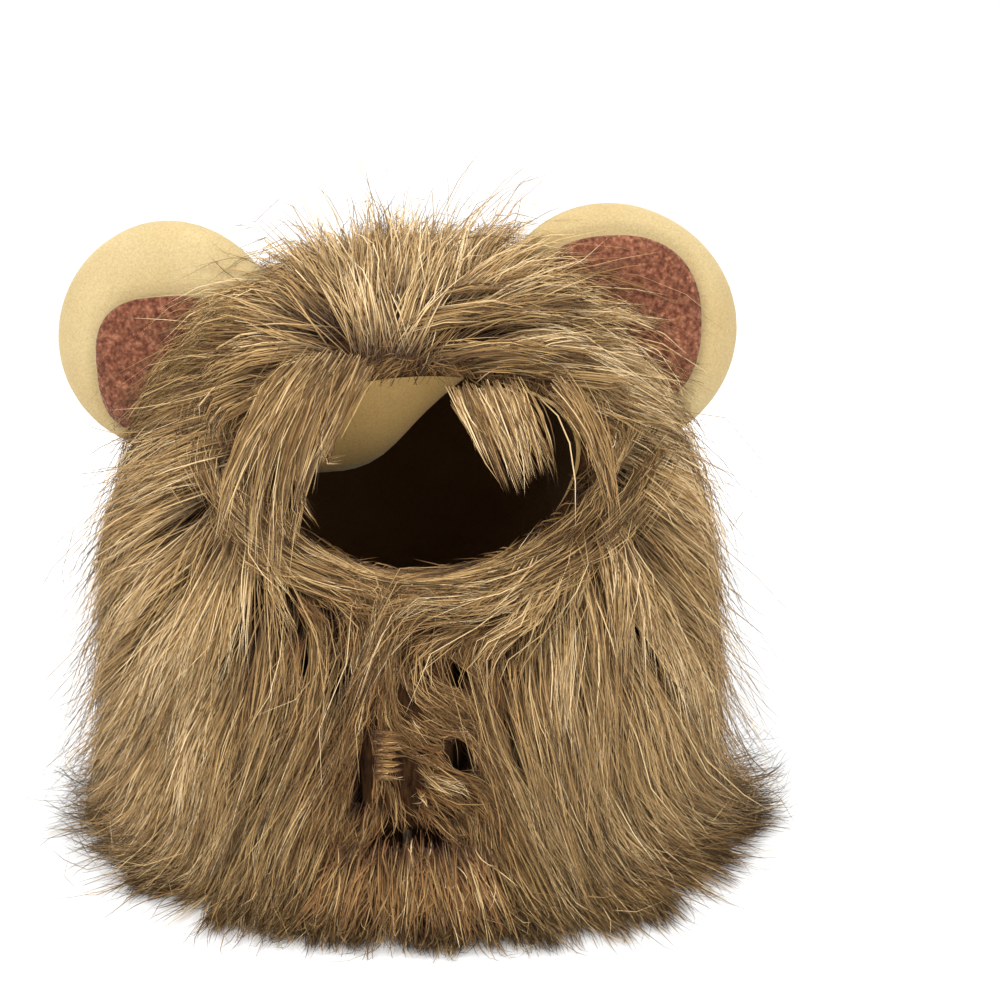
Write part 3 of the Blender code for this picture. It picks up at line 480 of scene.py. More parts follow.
def makeLining():
    # the cloth's face moved in along its normal; its crown is let down by a bell of x and y
    mapX, mapY = hoodGrid(141, 78, lining["inset"])
    point, _, _, normal = skinFrame(mapX, mapY, 0.0)
    sheets = []
    for offset in (lining["gap"], lining["gap"] + lining["wall"]):
        sheet = point - normal * offset
        bell = np.exp(-(((sheet[..., 0] - lining["sagAt"][0]) / lining["sagHalf"][0]) ** 2)
                      - ((sheet[..., 1] - lining["sagAt"][1]) / lining["sagHalf"][1]) ** 2)
        drop = bell * smooth(sheet[..., 2], lining["sagFrom"], lining["sagFrom"] + lining["sagFade"])
        crease = (waves(sheet, 0.030, 3) + 0.6 * waves(sheet, 0.014, 4)) * lining["creases"]
        sheet[..., 2] -= lining["sagDrop"] * drop
        sheet -= normal * (crease * (0.25 + drop) * smooth(sheet[..., 2], 0.0, 0.02) + lining["creases"] * 0.5)[..., None]
        sheet[..., 2] = np.maximum(sheet[..., 2], lining["hem"])
        sheets.append(sheet)
    made = outwards(closedSheet("lining_cloth", *sheets))
    made.data.materials.append(liningPlush)
    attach(made, "root")
    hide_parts("hood_lining")
    faces = made.data.polygons
    area = np.empty(len(faces))
    faces.foreach_get("area", area)
    print(f"lining: {area.sum() / 2:.4f} square metres of plush")
    return made


makeLining()
print("lining: done")


ear = {
    "length": 0.075, "width": 0.076, "wall": 0.023, "dish": 0.003, "narrow": 0.14,
    "seam": 0.0011, "puckers": 0.0006, "lumps": 0.0011,
    "patchGap": 0.0003, "patchWall": 0.0012,
    "rows": (
        dict(name="left", side=-1, centre=(-0.0735, 0.0018, 0.158), size=0.98, lean=50, turn=12, bow=-2,
             patchCentre=(0.14, -0.12), patchHalf=(0.70, 0.66), corners=3.0),
        dict(name="right", side=1, centre=(0.0625, 0.003, 0.161), size=1.04, lean=45, turn=8, bow=-8,
             patchCentre=(0.06, 0.00), patchHalf=(0.76, 0.78), corners=2.4),
    ),
}


def earAxes(row):
    lean, turn = (math.radians(row[key]) * row["side"] for key in ("lean", "turn"))
    bow = math.radians(row["bow"])
    facing = np.array([math.sin(turn) * math.cos(bow), -math.cos(turn) * math.cos(bow), -math.sin(bow)])
    along = np.array([math.sin(lean), 0.0, math.cos(lean)])
    along = unit(along - facing * along.dot(facing))
    return np.cross(along, -facing), along, facing


def earPoint(row, u, v, off):
    # u across, v along, both as shares of the half sizes, and off the distance from the middle plane
    across, along, facing = earAxes(row)
    narrow = 1 - ear["narrow"] * np.clip(-v, 0, 1) ** 2
    return (np.array(row["centre"]) + (u * narrow * ear["width"] * row["size"] / 2)[..., None] * across
            + (v * ear["length"] * row["size"] / 2)[..., None] * along + off[..., None] * facing)


def earFront(radius):
    return ear["wall"] / 2 * np.sqrt(np.clip(1 - radius**2.4, 0, 1)) - ear["dish"] * np.clip(1 - radius**2, 0, 1) ** 2


def keptOut(points, clear):
    # what would be inside the hood's cloth is pushed straight out on to it
    share = shareOfHeight(points[..., 2], hood["clothRows"], hood["clothSize"])
    row = readRows(hood["clothRows"], share)
    half = row[..., 1] * hood["clothSize"][1] + clear
    deep = row[..., 2] * hood["clothSize"][2] + clear
    reach = np.hypot(points[..., 0] / half, points[..., 1] / deep)
    grow = np.where(points[..., 2] < hood["clothSize"][0], np.maximum(1 / np.maximum(reach, 1e-3), 1), 1)
    out = points.copy()
    out[..., :2] *= np.minimum(grow, 4)[..., None]
    return out


def makeEar(row, turns=96, rings=45):
    # two puffed discs sewn at the edge: radius = sin(c)^(5/6), depth = wall / 2 cos(c), c from front to back
    c = np.linspace(0.02, math.pi - 0.02, rings)[:, None]
    angle = np.linspace(0, 2 * math.pi, turns, endpoint=False)[None, :]
    radius = np.sin(c) ** (5 / 6)
    atSeam = np.exp(-((c - math.pi / 2) / 0.10) ** 2)
    rim = radius * (1 + 0.012 * np.sin(3 * angle + 0.6) * np.exp(-((c - math.pi / 2) / 0.9) ** 2)) * (1 - 0.018 * atSeam)
    u, v = rim * np.cos(angle), rim * np.sin(angle)
    off = np.cos(c) * ear["wall"] / 2 * np.ones_like(angle)
    off = off - ear["dish"] * np.clip(1 - radius**2, 0, 1) ** 2 * (c < math.pi / 2)
    flat = earPoint(row, u, v, off)
    fromPatch = [(value - row["patchCentre"][i]) / row["patchHalf"][i] for i, value in enumerate((u, v))]
    edge = np.hypot(*fromPatch) / cornered(row, np.arctan2(fromPatch[1], fromPatch[0]))
    front = smooth(-c, -math.pi / 2, -math.pi / 2 + 0.3)
    groove = np.exp(-(((edge - 1) * 0.028 / 0.0022) ** 2)) * front
    pucker = np.sin(34 * angle + 3 * waves(flat, 0.05, 5)) * np.exp(-((c - math.pi / 2) / 0.28) ** 2)
    root = np.exp(-((v + 1.0) / 0.55) ** 2)
    pleat = np.sin(15 * u + 1.5 * waves(flat, 0.04, 6)) * root
    off = off + np.cos(c) * (ear["lumps"] * waves(flat, 0.045, 7) + ear["puckers"] * pucker) - ear["seam"] * 1.6 * groove
    off = off + pleat * 0.0012 * np.sign(math.pi / 2 - c) * np.abs(np.cos(c))
    grid = keptOut(earPoint(row, u, v, off), 0.0026)
    poles = keptOut(np.stack([grid[0].mean(axis=0), grid[-1].mean(axis=0)]), 0.0026)
    count = rings * turns
    loop = np.arange(turns)
    after = (loop + 1) % turns
    caps = np.concatenate([np.stack([loop, after, np.full(turns, count)], axis=-1),
                           np.stack([after + count - turns, loop + count - turns, np.full(turns, count + 1)], axis=-1)])
    made = outwards(newMesh(f"{row['name']}_ear_plush", np.concatenate([grid.reshape(-1, 3), poles]),
                            gridQuads(rings, turns, True)[:, ::-1], caps))
    made.data.materials.append(cream)
    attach(made, "root")
    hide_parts(f"{row['name']}_ear")
    return made


def cornered(row, angle):
    # the reach of a patch's edge: a superellipse with one corner towards the ear's tip, never over 1
    a, b = np.abs(np.cos(angle - math.pi / 4)), np.abs(np.sin(angle - math.pi / 4))
    power = row["corners"]
    return (a**power + b**power) ** (-1 / power) * 2 ** (1 / power - 0.5)


def makePatch(row, turns=72, rings=18):
    # a thin skin over the ear's front, round at its edge: height (1 - r^8) of the fleece's thickness
    radius = np.linspace(0, 1, rings)[:, None] ** 0.8
    angle = np.linspace(0, 2 * math.pi, turns, endpoint=False)[None, :]
    reach = radius * cornered(row, angle) * 0.985
    u = reach * np.cos(angle) * row["patchHalf"][0] + row["patchCentre"][0]
    v = reach * np.sin(angle) * row["patchHalf"][1] + row["patchCentre"][1]
    base = earFront(np.hypot(u, v)) + ear["patchGap"]
    spot = earPoint(row, u, v, base)
    soft = 0.00035 * waves(spot, 0.016, 9) * (1 - radius**8)
    sheets = [keptOut(earPoint(row, u, v, base + level), 0.003)
              for level in (ear["patchWall"] * (1 - radius**8) + soft + ear["lumps"] * 0.6 * waves(spot, 0.045, 7),
                            -0.0003 - 0.0009 * radius**6 + ear["lumps"] * 0.6 * waves(spot, 0.045, 7))]
    count = rings * turns
    skirt = np.arange(turns) + count - turns
    after = np.roll(skirt, -1)
    band = np.stack([skirt, after, after + count, skirt + count], axis=-1)
    made = newMesh(f"{row['name']}_ear_fleece", np.concatenate([sheet.reshape(-1, 3) for sheet in sheets]),
                   np.concatenate([gridQuads(rings, turns, True), gridQuads(rings, turns, True, count)[:, ::-1], band]))
    made.data.materials.append(fleece)
    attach(made, "root")
    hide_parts(f"{row['name']}_ear_inner")
    return outwards(made)


for row in ear["rows"]:
    makeEar(row)
    makePatch(row)
print("ears: two stuffed ears with fleece patches")


mane = {"undercoat": 0.50, "ripple": 0.0022}


def makeUndercoat():
    # the fur cloth and its short fibre: a shell from the cloth to half the fur's depth, with a rippled face
    mapX, mapY = hoodGrid(121, 60)
    inner, _, _, _ = skinFrame(mapX, mapY, 0.0)
    outer, _, _, normal = skinFrame(mapX, mapY, mane["undercoat"])
    along = np.linspace(0, 1, 60)[:, None]
    edge = smooth(np.minimum(along, 1 - along), 0, 0.06)
    outer = outer + normal * ((waves(outer, 0.022, 11) + waves(outer, 0.009, 12)) * mane["ripple"] * edge)[..., None]
    for row in ear["rows"]:
        outer = besideEar(outer, row, 0.0012)
    outer[..., 2] = np.maximum(outer[..., 2], 0.0)
    made = outwards(closedSheet("mane_undercoat", outer, inner))
    made.data.materials.append(undercoat)
    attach(made, "root")
    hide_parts("fur_mane")
    return made


def earShares(points, row, clear):
    across, along, facing = earAxes(row)
    off = points - np.array(row["centre"])
    u = off @ across / (ear["width"] * row["size"] / 2 + clear)
    v = off @ along / (ear["length"] * row["size"] / 2 + clear)
    half = (ear["wall"] / 2 + clear + 0.001) * np.sqrt(np.clip(1 - np.hypot(u, v) ** 2.4, 0, 1))
    return off @ facing, half, facing


def besideEar(points, row, clear, side=None):
    # a point inside an ear is moved out through the ear's face: through the one on its own side, or side's
    off, half, facing = earShares(points, row, clear)
    if side is None:
        side = np.where(off < 0, -1.0, 1.0)
    inside = half - side * off
    move = np.where((inside > 0) & (half > 0), inside, 0)
    return points + (move * side)[..., None] * facing


makeUndercoat()
print("mane: undercoat done")


strand = {
    "points": 5,
    "width": (0.00021, 0.00042),
    "profile": np.array([0.85, 1.0, 0.95, 0.72, 0.0]),
    "share": 0.03, "past": 0.009, "ease": 0.009,  # reach past the solids: a share of each side, and metres
}


def held(paths):
    # nothing goes under the floor, and what goes past the fur's furthest reach flattens out short of it
    low, high = (np.array(corner) for corner in cadBox)
    spare = (high - low) * strand["share"] + strand["past"]
    start, end = high + spare - strand["ease"], low - spare + strand["ease"]
    over, under = np.maximum(paths - start, 0), np.maximum(end - paths, 0)
    easing = strand["ease"] - 0.0006
    paths = np.clip(paths, end, start) + easing * np.tanh(over / easing) - easing * np.tanh(under / easing)
    paths[..., 2] = np.maximum(paths[..., 2], 0.0003)
    return paths


def buildStrands(name, paths, facing, tones, widths, rootTone=0.01):
    # ribbons: each path (points, 3) widened sideways, across its heading and the way it faces, to a pointed
    # tip. rootTone is where on the way from root to tip the colours start
    paths = held(paths)
    count, points = paths.shape[:2]
    heading = unit(np.gradient(paths, axis=1))
    across = unit(np.cross(heading, facing[:, None]))
    half = (widths[:, None] * strand["profile"] / 2)[..., None] * across
    left, right = (paths - half)[:, :-1], (paths + half)[:, :-1]
    verts = np.concatenate([np.stack([left, right], axis=2).reshape(count, -1, 3), paths[:, -1:]], axis=1)
    each = verts.shape[1]
    start = (np.arange(count) * each)[:, None, None]
    k = np.arange(points - 2)[None, :, None] * 2
    quads = (start + k + np.array([0, 1, 3, 2])).reshape(-1, 4)
    tips = (start[:, 0] + np.array([each - 3, each - 2, each - 1])).reshape(-1, 3)
    uv = np.empty((count, each, 2))
    uv[..., 0] = tones[:, None] + np.tile([-0.002, 0.002], each)[:each] * (np.arange(each) < each - 1)
    start = np.reshape(rootTone, (-1, 1))
    uv[..., 1] = start + (0.97 - start) * np.repeat(np.linspace(0, 1, points), 2)[:each]
    made = newMesh(name, verts.reshape(-1, 3), quads, tips, uv.reshape(-1, 2))
    made.data.materials.append(fur)
    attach(made, "root")
    print(f"{name}: {count} strands, {len(quads) * 2 + len(tips)} triangles")
    return made


def grownFrom(guides, normals, perClump, spread, gather, ragged, curl, toss, late=0.0):
    # each guide path grows a clump: strands offset at the root, drawn together towards the tip, and one
    # strand in six strays from its clump. A strand starts up to late of the way along
    count, points = guides.shape[:2]
    heading = unit(guides[:, 1] - guides[:, 0])
    side = unit(np.cross(heading, normals))
    over = np.cross(side, heading)
    share = np.linspace(0, 1, points)
    reach = toss.uniform(ragged, 1.0, size=(count, perClump)) ** 0.8
    begin = toss.uniform(0, late, size=(count, perClump))[..., None] if late else 0.0
    at = np.clip((begin + (reach[..., None] - begin) * share) * (points - 1), 0, points - 1.001)
    low = at.astype(int)
    frac = (at - low)[..., None]
    which = np.arange(count)[:, None, None]
    base = guides[which, low] * (1 - frac) + guides[which, low + 1] * frac
    a, b = toss.normal(size=(2, count, perClump)) * np.reshape(spread, (-1, 1))
    c = np.abs(toss.normal(size=(count, perClump))) * np.reshape(spread, (-1, 1)) * 0.45
    stray = np.where(toss.uniform(size=(count, perClump)) < 1 / 6, 2.6, 1.0)
    drawn = 1 - gather * share**0.9 * (stray[..., None] < 2)
    offset = (a[..., None, None] * side[:, None, None] + 0.7 * b[..., None, None] * heading[:, None, None]
              + c[..., None, None] * over[:, None, None]) * drawn[..., None]
    wild = (stray * np.reshape(curl, (-1, 1)))[..., None, None]
    bend = toss.normal(size=(count, perClump, 1, 3)) * wild * (share**2)[:, None]
    bow = toss.normal(size=(count, perClump, 1, 3)) * wild * 0.5 * np.sin(share * math.pi)[:, None]
    paths = (base + offset + bend + bow).reshape(-1, points, 3)
    facing = np.repeat(over, perClump, axis=0) + toss.normal(size=(count * perClump, 3)) * 0.5
    return paths, unit(facing)


comb = {
    "whorl": (-0.006, -0.046, 0.160),
    "clumps": 2890,
    "perClump": 34,
    "length": 0.060,
    "spread": 0.0040,
    "gather": 0.66,
    "curl": 0.0012,
    "locks": 620,  # clumps are drawn together into this many locks
    "pull": 0.58,
    "hollowCore": 0.62,  # the share of a hollow that no strand crosses
    "reach": 0.010,  # how far a stroke counts
    "pastHem": (0.015, 0.009, 0.010),  # how far strands lie on the floor, and what the front and the right add
}

# strokes of the comb, seen from the camera's side: where, in mm to the right of the middle and up in the
# picture, and which way the fur lies there, in degrees from the right towards the top
strokes = np.array([
    (-9, 166, 93), (9, 166, 69), (-27, 165, 126), (-42, 162, 159), (34, 157, 13), (18, 154, 29), (63, 150, -28),
    (29, 149, 8), (-43, 147, 180), (53, 147, -17), (40, 141, -17), (-45, 136, -163), (54, 131, -49), (68, 130, -17),
    (-51, 125, -158), (77, 115, -19), (-64, 111, -153), (57, 110, -81), (78, 102, -31), (-78, 97, -146),
    (60, 92, -94), (-47, 91, -58), (69, 89, -64), (52, 89, -135), (-53, 81, -84), (36, 80, -171), (-28, 79, -14),
    (19, 78, 174), (94, 76, -63), (-79, 75, -127), (-65, 74, -117), (61, 69, -90), (81, 69, -69), (38, 67, -146),
    (52, 66, -100), (-91, 64, -117), (-37, 58, -77), (-51, 53, -91), (-65, 51, -103), (-16, 47, -124),
    (32, 39, -77), (7, 33, -15), (73, 35, -87), (52, 32, -90), (86, 28, -81), (-28, 21, -114), (-61, 19, -97),
    (-83, 19, -108), (-100, 17, -133), (109, -1, -1), (-108, -2, -166), (89, -6, -33), (42, -9, -72), (68, -11, -57),
    (-100, -16, -158), (-40, -19, -101), (2, -22, -87), (-15, -22, -112), (17, -22, -72), (-75, -24, -133),
], float)


def inPicture(point):
    # to the right and up, as the camera sees a point
    return point[..., 0], point @ pictureUp


def flowAt(point, normal):
    # in front: the mean of the strokes, by nearness, laid on the surface so that it looks like them from the
    # camera. Elsewhere: away from the whorl and down, and outwards at the floor
    right, up = inPicture(point)
    far = (right[..., None] - strokes[:, 0] * mm) ** 2 + (up[..., None] - strokes[:, 1] * mm) ** 2
    weight = np.exp(-(far - far.min(axis=-1, keepdims=True)) / (2 * comb["reach"] ** 2))
    bearing = np.radians(strokes[:, 2])
    goRight = (weight * np.cos(bearing)).sum(axis=-1)
    goUp = (weight * np.sin(bearing)).sum(axis=-1)
    facing = normal @ toCamera
    sink = -(goRight * normal[..., 0] + goUp * (normal @ pictureUp)) / np.maximum(facing, 0.3)
    seen = goRight[..., None] * np.array([1.0, 0, 0]) + goUp[..., None] * pictureUp + sink[..., None] * toCamera
    x, y, z = np.moveaxis(point, -1, 0)
    away = unit(point - np.array(comb["whorl"]))
    out = unit(np.stack([x, y, 0 * x], axis=-1))
    down = np.array([0, 0, -1.0])
    hidden = away + down * (0.6 * smooth(-z, -0.16, -0.09))[..., None]
    hidden = hidden + out * (0.35 * smooth(-z, -0.05, 0.0) + 1.2 * smooth(-z, -0.010, 0.0))[..., None]
    share = smooth(facing, 0.05, 0.4)[..., None]
    sway = np.stack([waves(point, 0.060, 21 + i) for i in range(3)], axis=-1)
    small = np.stack([waves(point, 0.022, 31 + i) for i in range(3)], axis=-1)
    return unit(seen) * share + unit(hidden) * (1 - share) + 0.09 * sway + 0.08 * small


def combed(mapX, mapY, length, rootDeep, endDeep, lift, steps=3):
    # walks over the disc in small steps of length, and rises from deep in the fur to its face
    points = strand["points"]
    path = []
    for i in range((points - 1) * steps + 1):
        share = i / ((points - 1) * steps)
        face, east, north, normal = skinFrame(mapX, mapY, 1.0, hood["overFlap"])
        if i % steps == 0:
            deep = rootDeep + (endDeep - rootDeep) * min(1.0, share / 0.45) ** 0.8
            path.append(skin(mapX, mapY, deep, hood["overFlap"]) + normal * (lift * share**1.6)[..., None])
        flow = flowAt(face, normal)
        ee, nn, en = (np.einsum("...i,...i->...", p, q) for p, q in ((east, east), (north, north), (east, north)))
        fe, fn = np.einsum("...i,...i->...", east, flow), np.einsum("...i,...i->...", north, flow)
        det = np.maximum(ee * nn - en * en, 1e-12)
        stepX, stepY = (nn * fe - en * fn) / det, (ee * fn - en * fe) / det
        pace = np.linalg.norm(east * stepX[..., None] + north * stepY[..., None], axis=-1)
        scale = length / ((points - 1) * steps) / np.maximum(pace, 1e-9)
        mapX, mapY = mapX + stepX * scale, mapY + stepY * scale
    return np.stack(path, axis=1)


hollows = np.array([  # dark gaps and partings: to the right, up, half width and half height, in mm
    (-21, 48, 5.6, 5.6), (14, 48, 5.0, 5.0), (-13, 20, 3.0, 15.0), (15, 24, 4.6, 7.5), (0, -3, 20.0, 3.0),
    (-0.5, 16, 1.4, 12.0), (-2, 42, 2.6, 3.4), (5, 62, 4.0, 2.2), (-65, 95, 2.2, 3.6), (-45, 73, 2.8, 2.6),
    (61, 103, 1.8, 3.4), (55, 77, 2.0, 3.2), (-21, 147, 4.5, 2.6), (22, 148, 3.8, 2.8), (-31, 53, 1.6, 5.0),
    (31, 27, 1.4, 6.0), (-45, 12, 1.2, 7.0), (68, 60, 1.2, 7.0), (-84, 55, 1.3, 6.0),
])

# how much darker or paler the fur is in places, partly painted light and shade (paler where lit, darker under the chin
# and at the hem) and partly its own tone: to the right, up, reach in mm, and the change of tone
toneAndPaintedShade = np.array([
    (-64, 118, 18, 0.27), (54, 124, 20, -0.36), (66, 75, 22, 0.08), (-70, 72, 20, -0.04), (0, 166, 26, 0.02),
    (-70, 0, 26, 0.15), (0, 48, 22, 0.24), (2, 12, 22, 0.32), (66, 0, 26, 0.18), (-34, 80, 18, 0.12),
    (36, 80, 18, 0.12), (-24, 148, 12, 0.14), (20, 148, 10, 0.12), (-94, 40, 16, -0.04), (92, 60, 14, 0.0),
])


def toneAndPaintedShadeAt(point):
    # the mean of the painted light, shade and tone changes, by nearness
    right, up = inPicture(point)
    far = (right[:, None] / mm - toneAndPaintedShade[:, 0]) ** 2 + (up[:, None] / mm - toneAndPaintedShade[:, 1]) ** 2
    weight = np.exp(-far / (2 * toneAndPaintedShade[:, 2] ** 2))
    return (weight * toneAndPaintedShade[:, 3]).sum(axis=1) / (weight.sum(axis=1) + 0.15)


def inHollow(point, share=1.0):
    # share makes the hollows smaller
    right, up = inPicture(point)
    a = (right[..., None] - hollows[:, 0] * mm) / (hollows[:, 2] * mm * share)
    b = (up[..., None] - hollows[:, 1] * mm) / (hollows[:, 3] * mm * share)
    return ((a**2 + b**2 < 1) & (point[..., 1] < 0)[..., None]).any(axis=-1)


def crossesHollow(guides, share=1.0):
    # tested at many places between a guide's points, past the root
    at = np.linspace(0.1, guides.shape[1] - 1.001, 24)
    low = at.astype(int)
    frac = (at - low)[:, None]
    return inHollow(guides[:, low] * (1 - frac) + guides[:, low + 1] * frac, share).any(axis=1)


def drawnIntoLocks(guides, lengths, toss):
    # each guide leans towards the nearest of a few chosen ones, more so towards the tip
    chosen = toss.permutation(len(guides))[:comb["locks"]]
    middle = guides[:, 1]
    far = np.linalg.norm(middle[:, None] - middle[chosen][None], axis=-1)
    heading = unit(guides[:, 2] - guides[:, 0])
    far = far * (1.6 - (heading[:, None] * heading[chosen][None]).sum(axis=-1))
    far = far + 0.25 * np.abs(lengths[:, None] - lengths[chosen][None])
    leader = far.argmin(axis=1)
    share = np.linspace(0, 1, guides.shape[1])[:, None] ** 1.2
    pull = comb["pull"] * np.exp(-far.min(axis=1) / 0.014)[:, None, None]
    return guides + (guides[chosen][leader] - guides) * pull * share, leader


def ovalOf(point):
    # 1 on the rim of the face opening, less inside it
    return np.hypot((point[..., 0] - hood["face"][0]) / hood["faceHalf"][0], (point[..., 2] - hood["face"][1]) / hood["faceHalf"][1])


def overChin(cloth, half):
    return (np.abs(cloth[:, 0] - hood["chinX"]) < half) & (cloth[:, 1] < 0) & (cloth[:, 2] > 0.020) & (cloth[:, 2] < 0.108)


def scattered(count, toss, frontMore=0.5):
    # places on the disc, evenly over the hood's real area and a little denser in front, but not before the
    # face opening or where an ear is
    tries = count * 8
    radius = np.sqrt(toss.uniform(0, 1, tries))
    angle = toss.uniform(-math.pi, math.pi, tries)
    mapX, mapY = radius * np.cos(angle), radius * np.sin(angle)
    point, east, north, normal = skinFrame(mapX, mapY)
    area = np.linalg.norm(np.cross(east, north), axis=-1)
    cloth = skin(mapX, mapY, 0.0)
    open_ = (cloth[:, 1] < 0) & (ovalOf(cloth) < 1.04)
    inEar = np.zeros(tries, bool)
    for row in ear["rows"]:
        off, half, _ = earShares(point, row, 0.0)
        inEar |= np.abs(off) < half * 0.9
    chance = area / np.quantile(area, 0.98) * (1 + frontMore * smooth(normal @ toCamera, -0.2, 0.3)) / (1 + frontMore)
    kept = np.flatnonzero((toss.uniform(0, 1, tries) < chance) & ~open_ & ~inEar & ~overChin(cloth, 0.013))[:count]
    return mapX[kept], mapY[kept]


def toneOf(count, toss, dark=0.2, guard=0.16):
    # most strands pale, some brown, some with black tips
    kind = toss.uniform(0, 1, count)
    pale = np.clip(toss.normal(0.24, 0.17, count), 0.01, 0.58)
    tone = np.where(kind < dark, toss.uniform(0.50, 0.72, count), pale)
    return np.where(kind > 1 - guard, toss.uniform(0.79, 0.90, count), tone)


def clearOfEars(paths):
    for row in ear["rows"]:
        off, half, _ = earShares(paths[:, 0], row, 0.0008)
        side = np.where(off < 0, -1.0, 1.0)[:, None]
        paths = besideEar(paths, row, 0.0008, side)
    return paths


def clearOfOpening(paths, least=0.96):
    # what would hang before the opening is moved out to its rim, in x and z
    oval = ovalOf(paths)
    inside = (oval < least) & (paths[..., 1] < -0.02)
    grow = np.where(inside, least / np.maximum(oval, 0.2), 1.0)
    for axis, middle in ((0, hood["face"][0]), (2, hood["face"][1])):
        paths[..., axis] = middle + (paths[..., axis] - middle) * grow
    return paths


def onFloor(paths, toss):
    paths[..., 2] = np.maximum(paths[..., 2], 0.0004 + 0.0020 * toss.uniform(0, 1, (len(paths), 1)))
    return paths


def reachOf(face, normal, length):
    # a strand that would lie on the floor is cut short
    x, y, z = face.T
    past, front, right = comb["pastHem"]
    floor = past + front * smooth(-y, 0.0, 0.06) + right * smooth(x, 0.0, 0.07)
    return np.minimum(length, z * 1.03 + floor)


def growMane():
    mapX, mapY = scattered(comb["clumps"], dice)
    face, _, _, normal = skinFrame(mapX, mapY)
    x, y, z = face.T
    count = len(mapX)
    right, up = inPicture(face)
    seen = smooth(normal @ toCamera, 0.0, 0.3)
    crown = smooth(up, 0.150, 0.166) * smooth(-y, -0.036, -0.006)
    rim = np.exp(-(((ovalOf(skin(mapX, mapY, 0.0)) - 1.1) / 0.22) ** 2)) * (y < -0.02)
    hem = smooth(-z, -0.050, -0.010)
    under = dice.uniform(0, 1, count) < 0.26
    length = comb["length"] * (1 - 0.25 * rim) * (1 - 0.30 * crown) * dice.uniform(0.75, 1.2, count)
    length = np.where(under, 0.62, 1.0) * reachOf(face, normal, length) * dice.uniform(1 - 0.3 * hem, 1.0, count)
    lift = 0.0010 + 0.0045 * dice.uniform(0, 1, count) ** 1.5 + 0.013 * crown * dice.uniform(0, 1.2, count) ** 2
    lift = lift + 0.0022 * waves(face, 0.030, 51) + 0.003 * smooth(np.abs(x), 0.06, 0.09) * smooth(z, 0.03, 0.08)
    guides = combed(mapX, mapY, length, 0.42, np.where(under, 0.72, 1.0), np.where(under, 0.0, lift))
    guides, lock = drawnIntoLocks(guides, length, dice)
    kept = np.flatnonzero(~crossesHollow(guides))
    guides, normal, lock, crown, hem, under = (each[kept] for each in (guides, normal, lock, crown, hem, under))
    x, y, z, face = x[kept], y[kept], z[kept], face[kept]
    count = len(kept)
    paths, facing = grownFrom(guides, normal, comb["perClump"], comb["spread"] * dice.uniform(0.75, 1.2, count),
                              comb["gather"], 0.5, np.full(count, comb["curl"]) * (1 + 1.2 * crown), dice)
    paths = onFloor(clearOfOpening(clearOfEars(paths)), dice)
    owner = np.repeat(np.arange(count), comb["perClump"])
    bare = crossesHollow(paths, comb["hollowCore"])
    paths, facing, owner = paths[~bare], facing[~bare], owner[~bare]
    edge = smooth(np.abs(x), 0.070, 0.092)
    tones = toneOf(len(paths), dice, (0.16 + 0.20 * hem + 0.5 * under)[owner], (0.10 + 0.40 * hem + 0.16 * edge)[owner])
    # the fur's tone takes painted light and shade by place, then random changes by clump and by lock
    change = toneAndPaintedShadeAt(guides[:, 2]) + dice.normal(0, 0.075, count) + dice.normal(0, 0.105, comb["locks"])[lock]
    tones = np.where(tones < 0.6, np.clip(tones + change[owner], 0.01, 0.72), tones)
    widths = dice.uniform(*strand["width"], len(paths))
    high = z[owner] > 0.140
    ahead = y[owner] < -0.005
    toLeft = x[owner] < 0
    for name, chosen in (("fur_crown", high), ("fur_front_left", ~high & ahead & toLeft),
                         ("fur_front_right", ~high & ahead & ~toLeft), ("fur_back_left", ~high & ~ahead & toLeft),
                         ("fur_back_right", ~high & ~ahead & ~toLeft)):
        buildStrands(name, paths[chosen], facing[chosen], tones[chosen], widths[chosen])


growMane()

# tufts along the rim of the face opening: the arc that they follow, in degrees round the oval from the
# right towards the top, and how many there are
rim = {
    "arcs": (
        dict(arc=(150, 268), clumps=74, reach=(1.05, 1.32), lift=0.0030),
        dict(arc=(32, -88), clumps=84, reach=(1.05, 1.34), lift=0.0030),
        dict(arc=(112, 160), clumps=36, reach=(1.06, 1.46), lift=0.0060),
        dict(arc=(106, 22), clumps=66, reach=(1.03, 1.46), lift=0.0065),
        dict(arc=(52, -52), clumps=44, reach=(1.02, 1.24), lift=0.0035),
        dict(arc=(230, 300), clumps=16, reach=(1.00, 1.10), lift=0.0020),
        dict(arc=(310, 244), clumps=16, reach=(1.00, 1.10), lift=0.0020),
    ),
    "perClump": 26, "span": 42, "spread": 0.0014,
    "fringe": {"clumps": 300, "perClump": 12, "turn": 9, "from": 1.10, "to": 0.95, "least": 0.93, "above": (48, 142)},
}


def onRim(reach, turn, deep):
    # places by their share of the opening's half sizes and their bearing round it
    mapX, mapY = frontMap(hood["face"][0] + hood["faceHalf"][0] * reach * np.cos(turn),
                          hood["face"][1] + hood["faceHalf"][1] * reach * np.sin(turn))
    point, _, _, normal = skinFrame(mapX, mapY, deep, hood["overFlap"])
    return point, normal


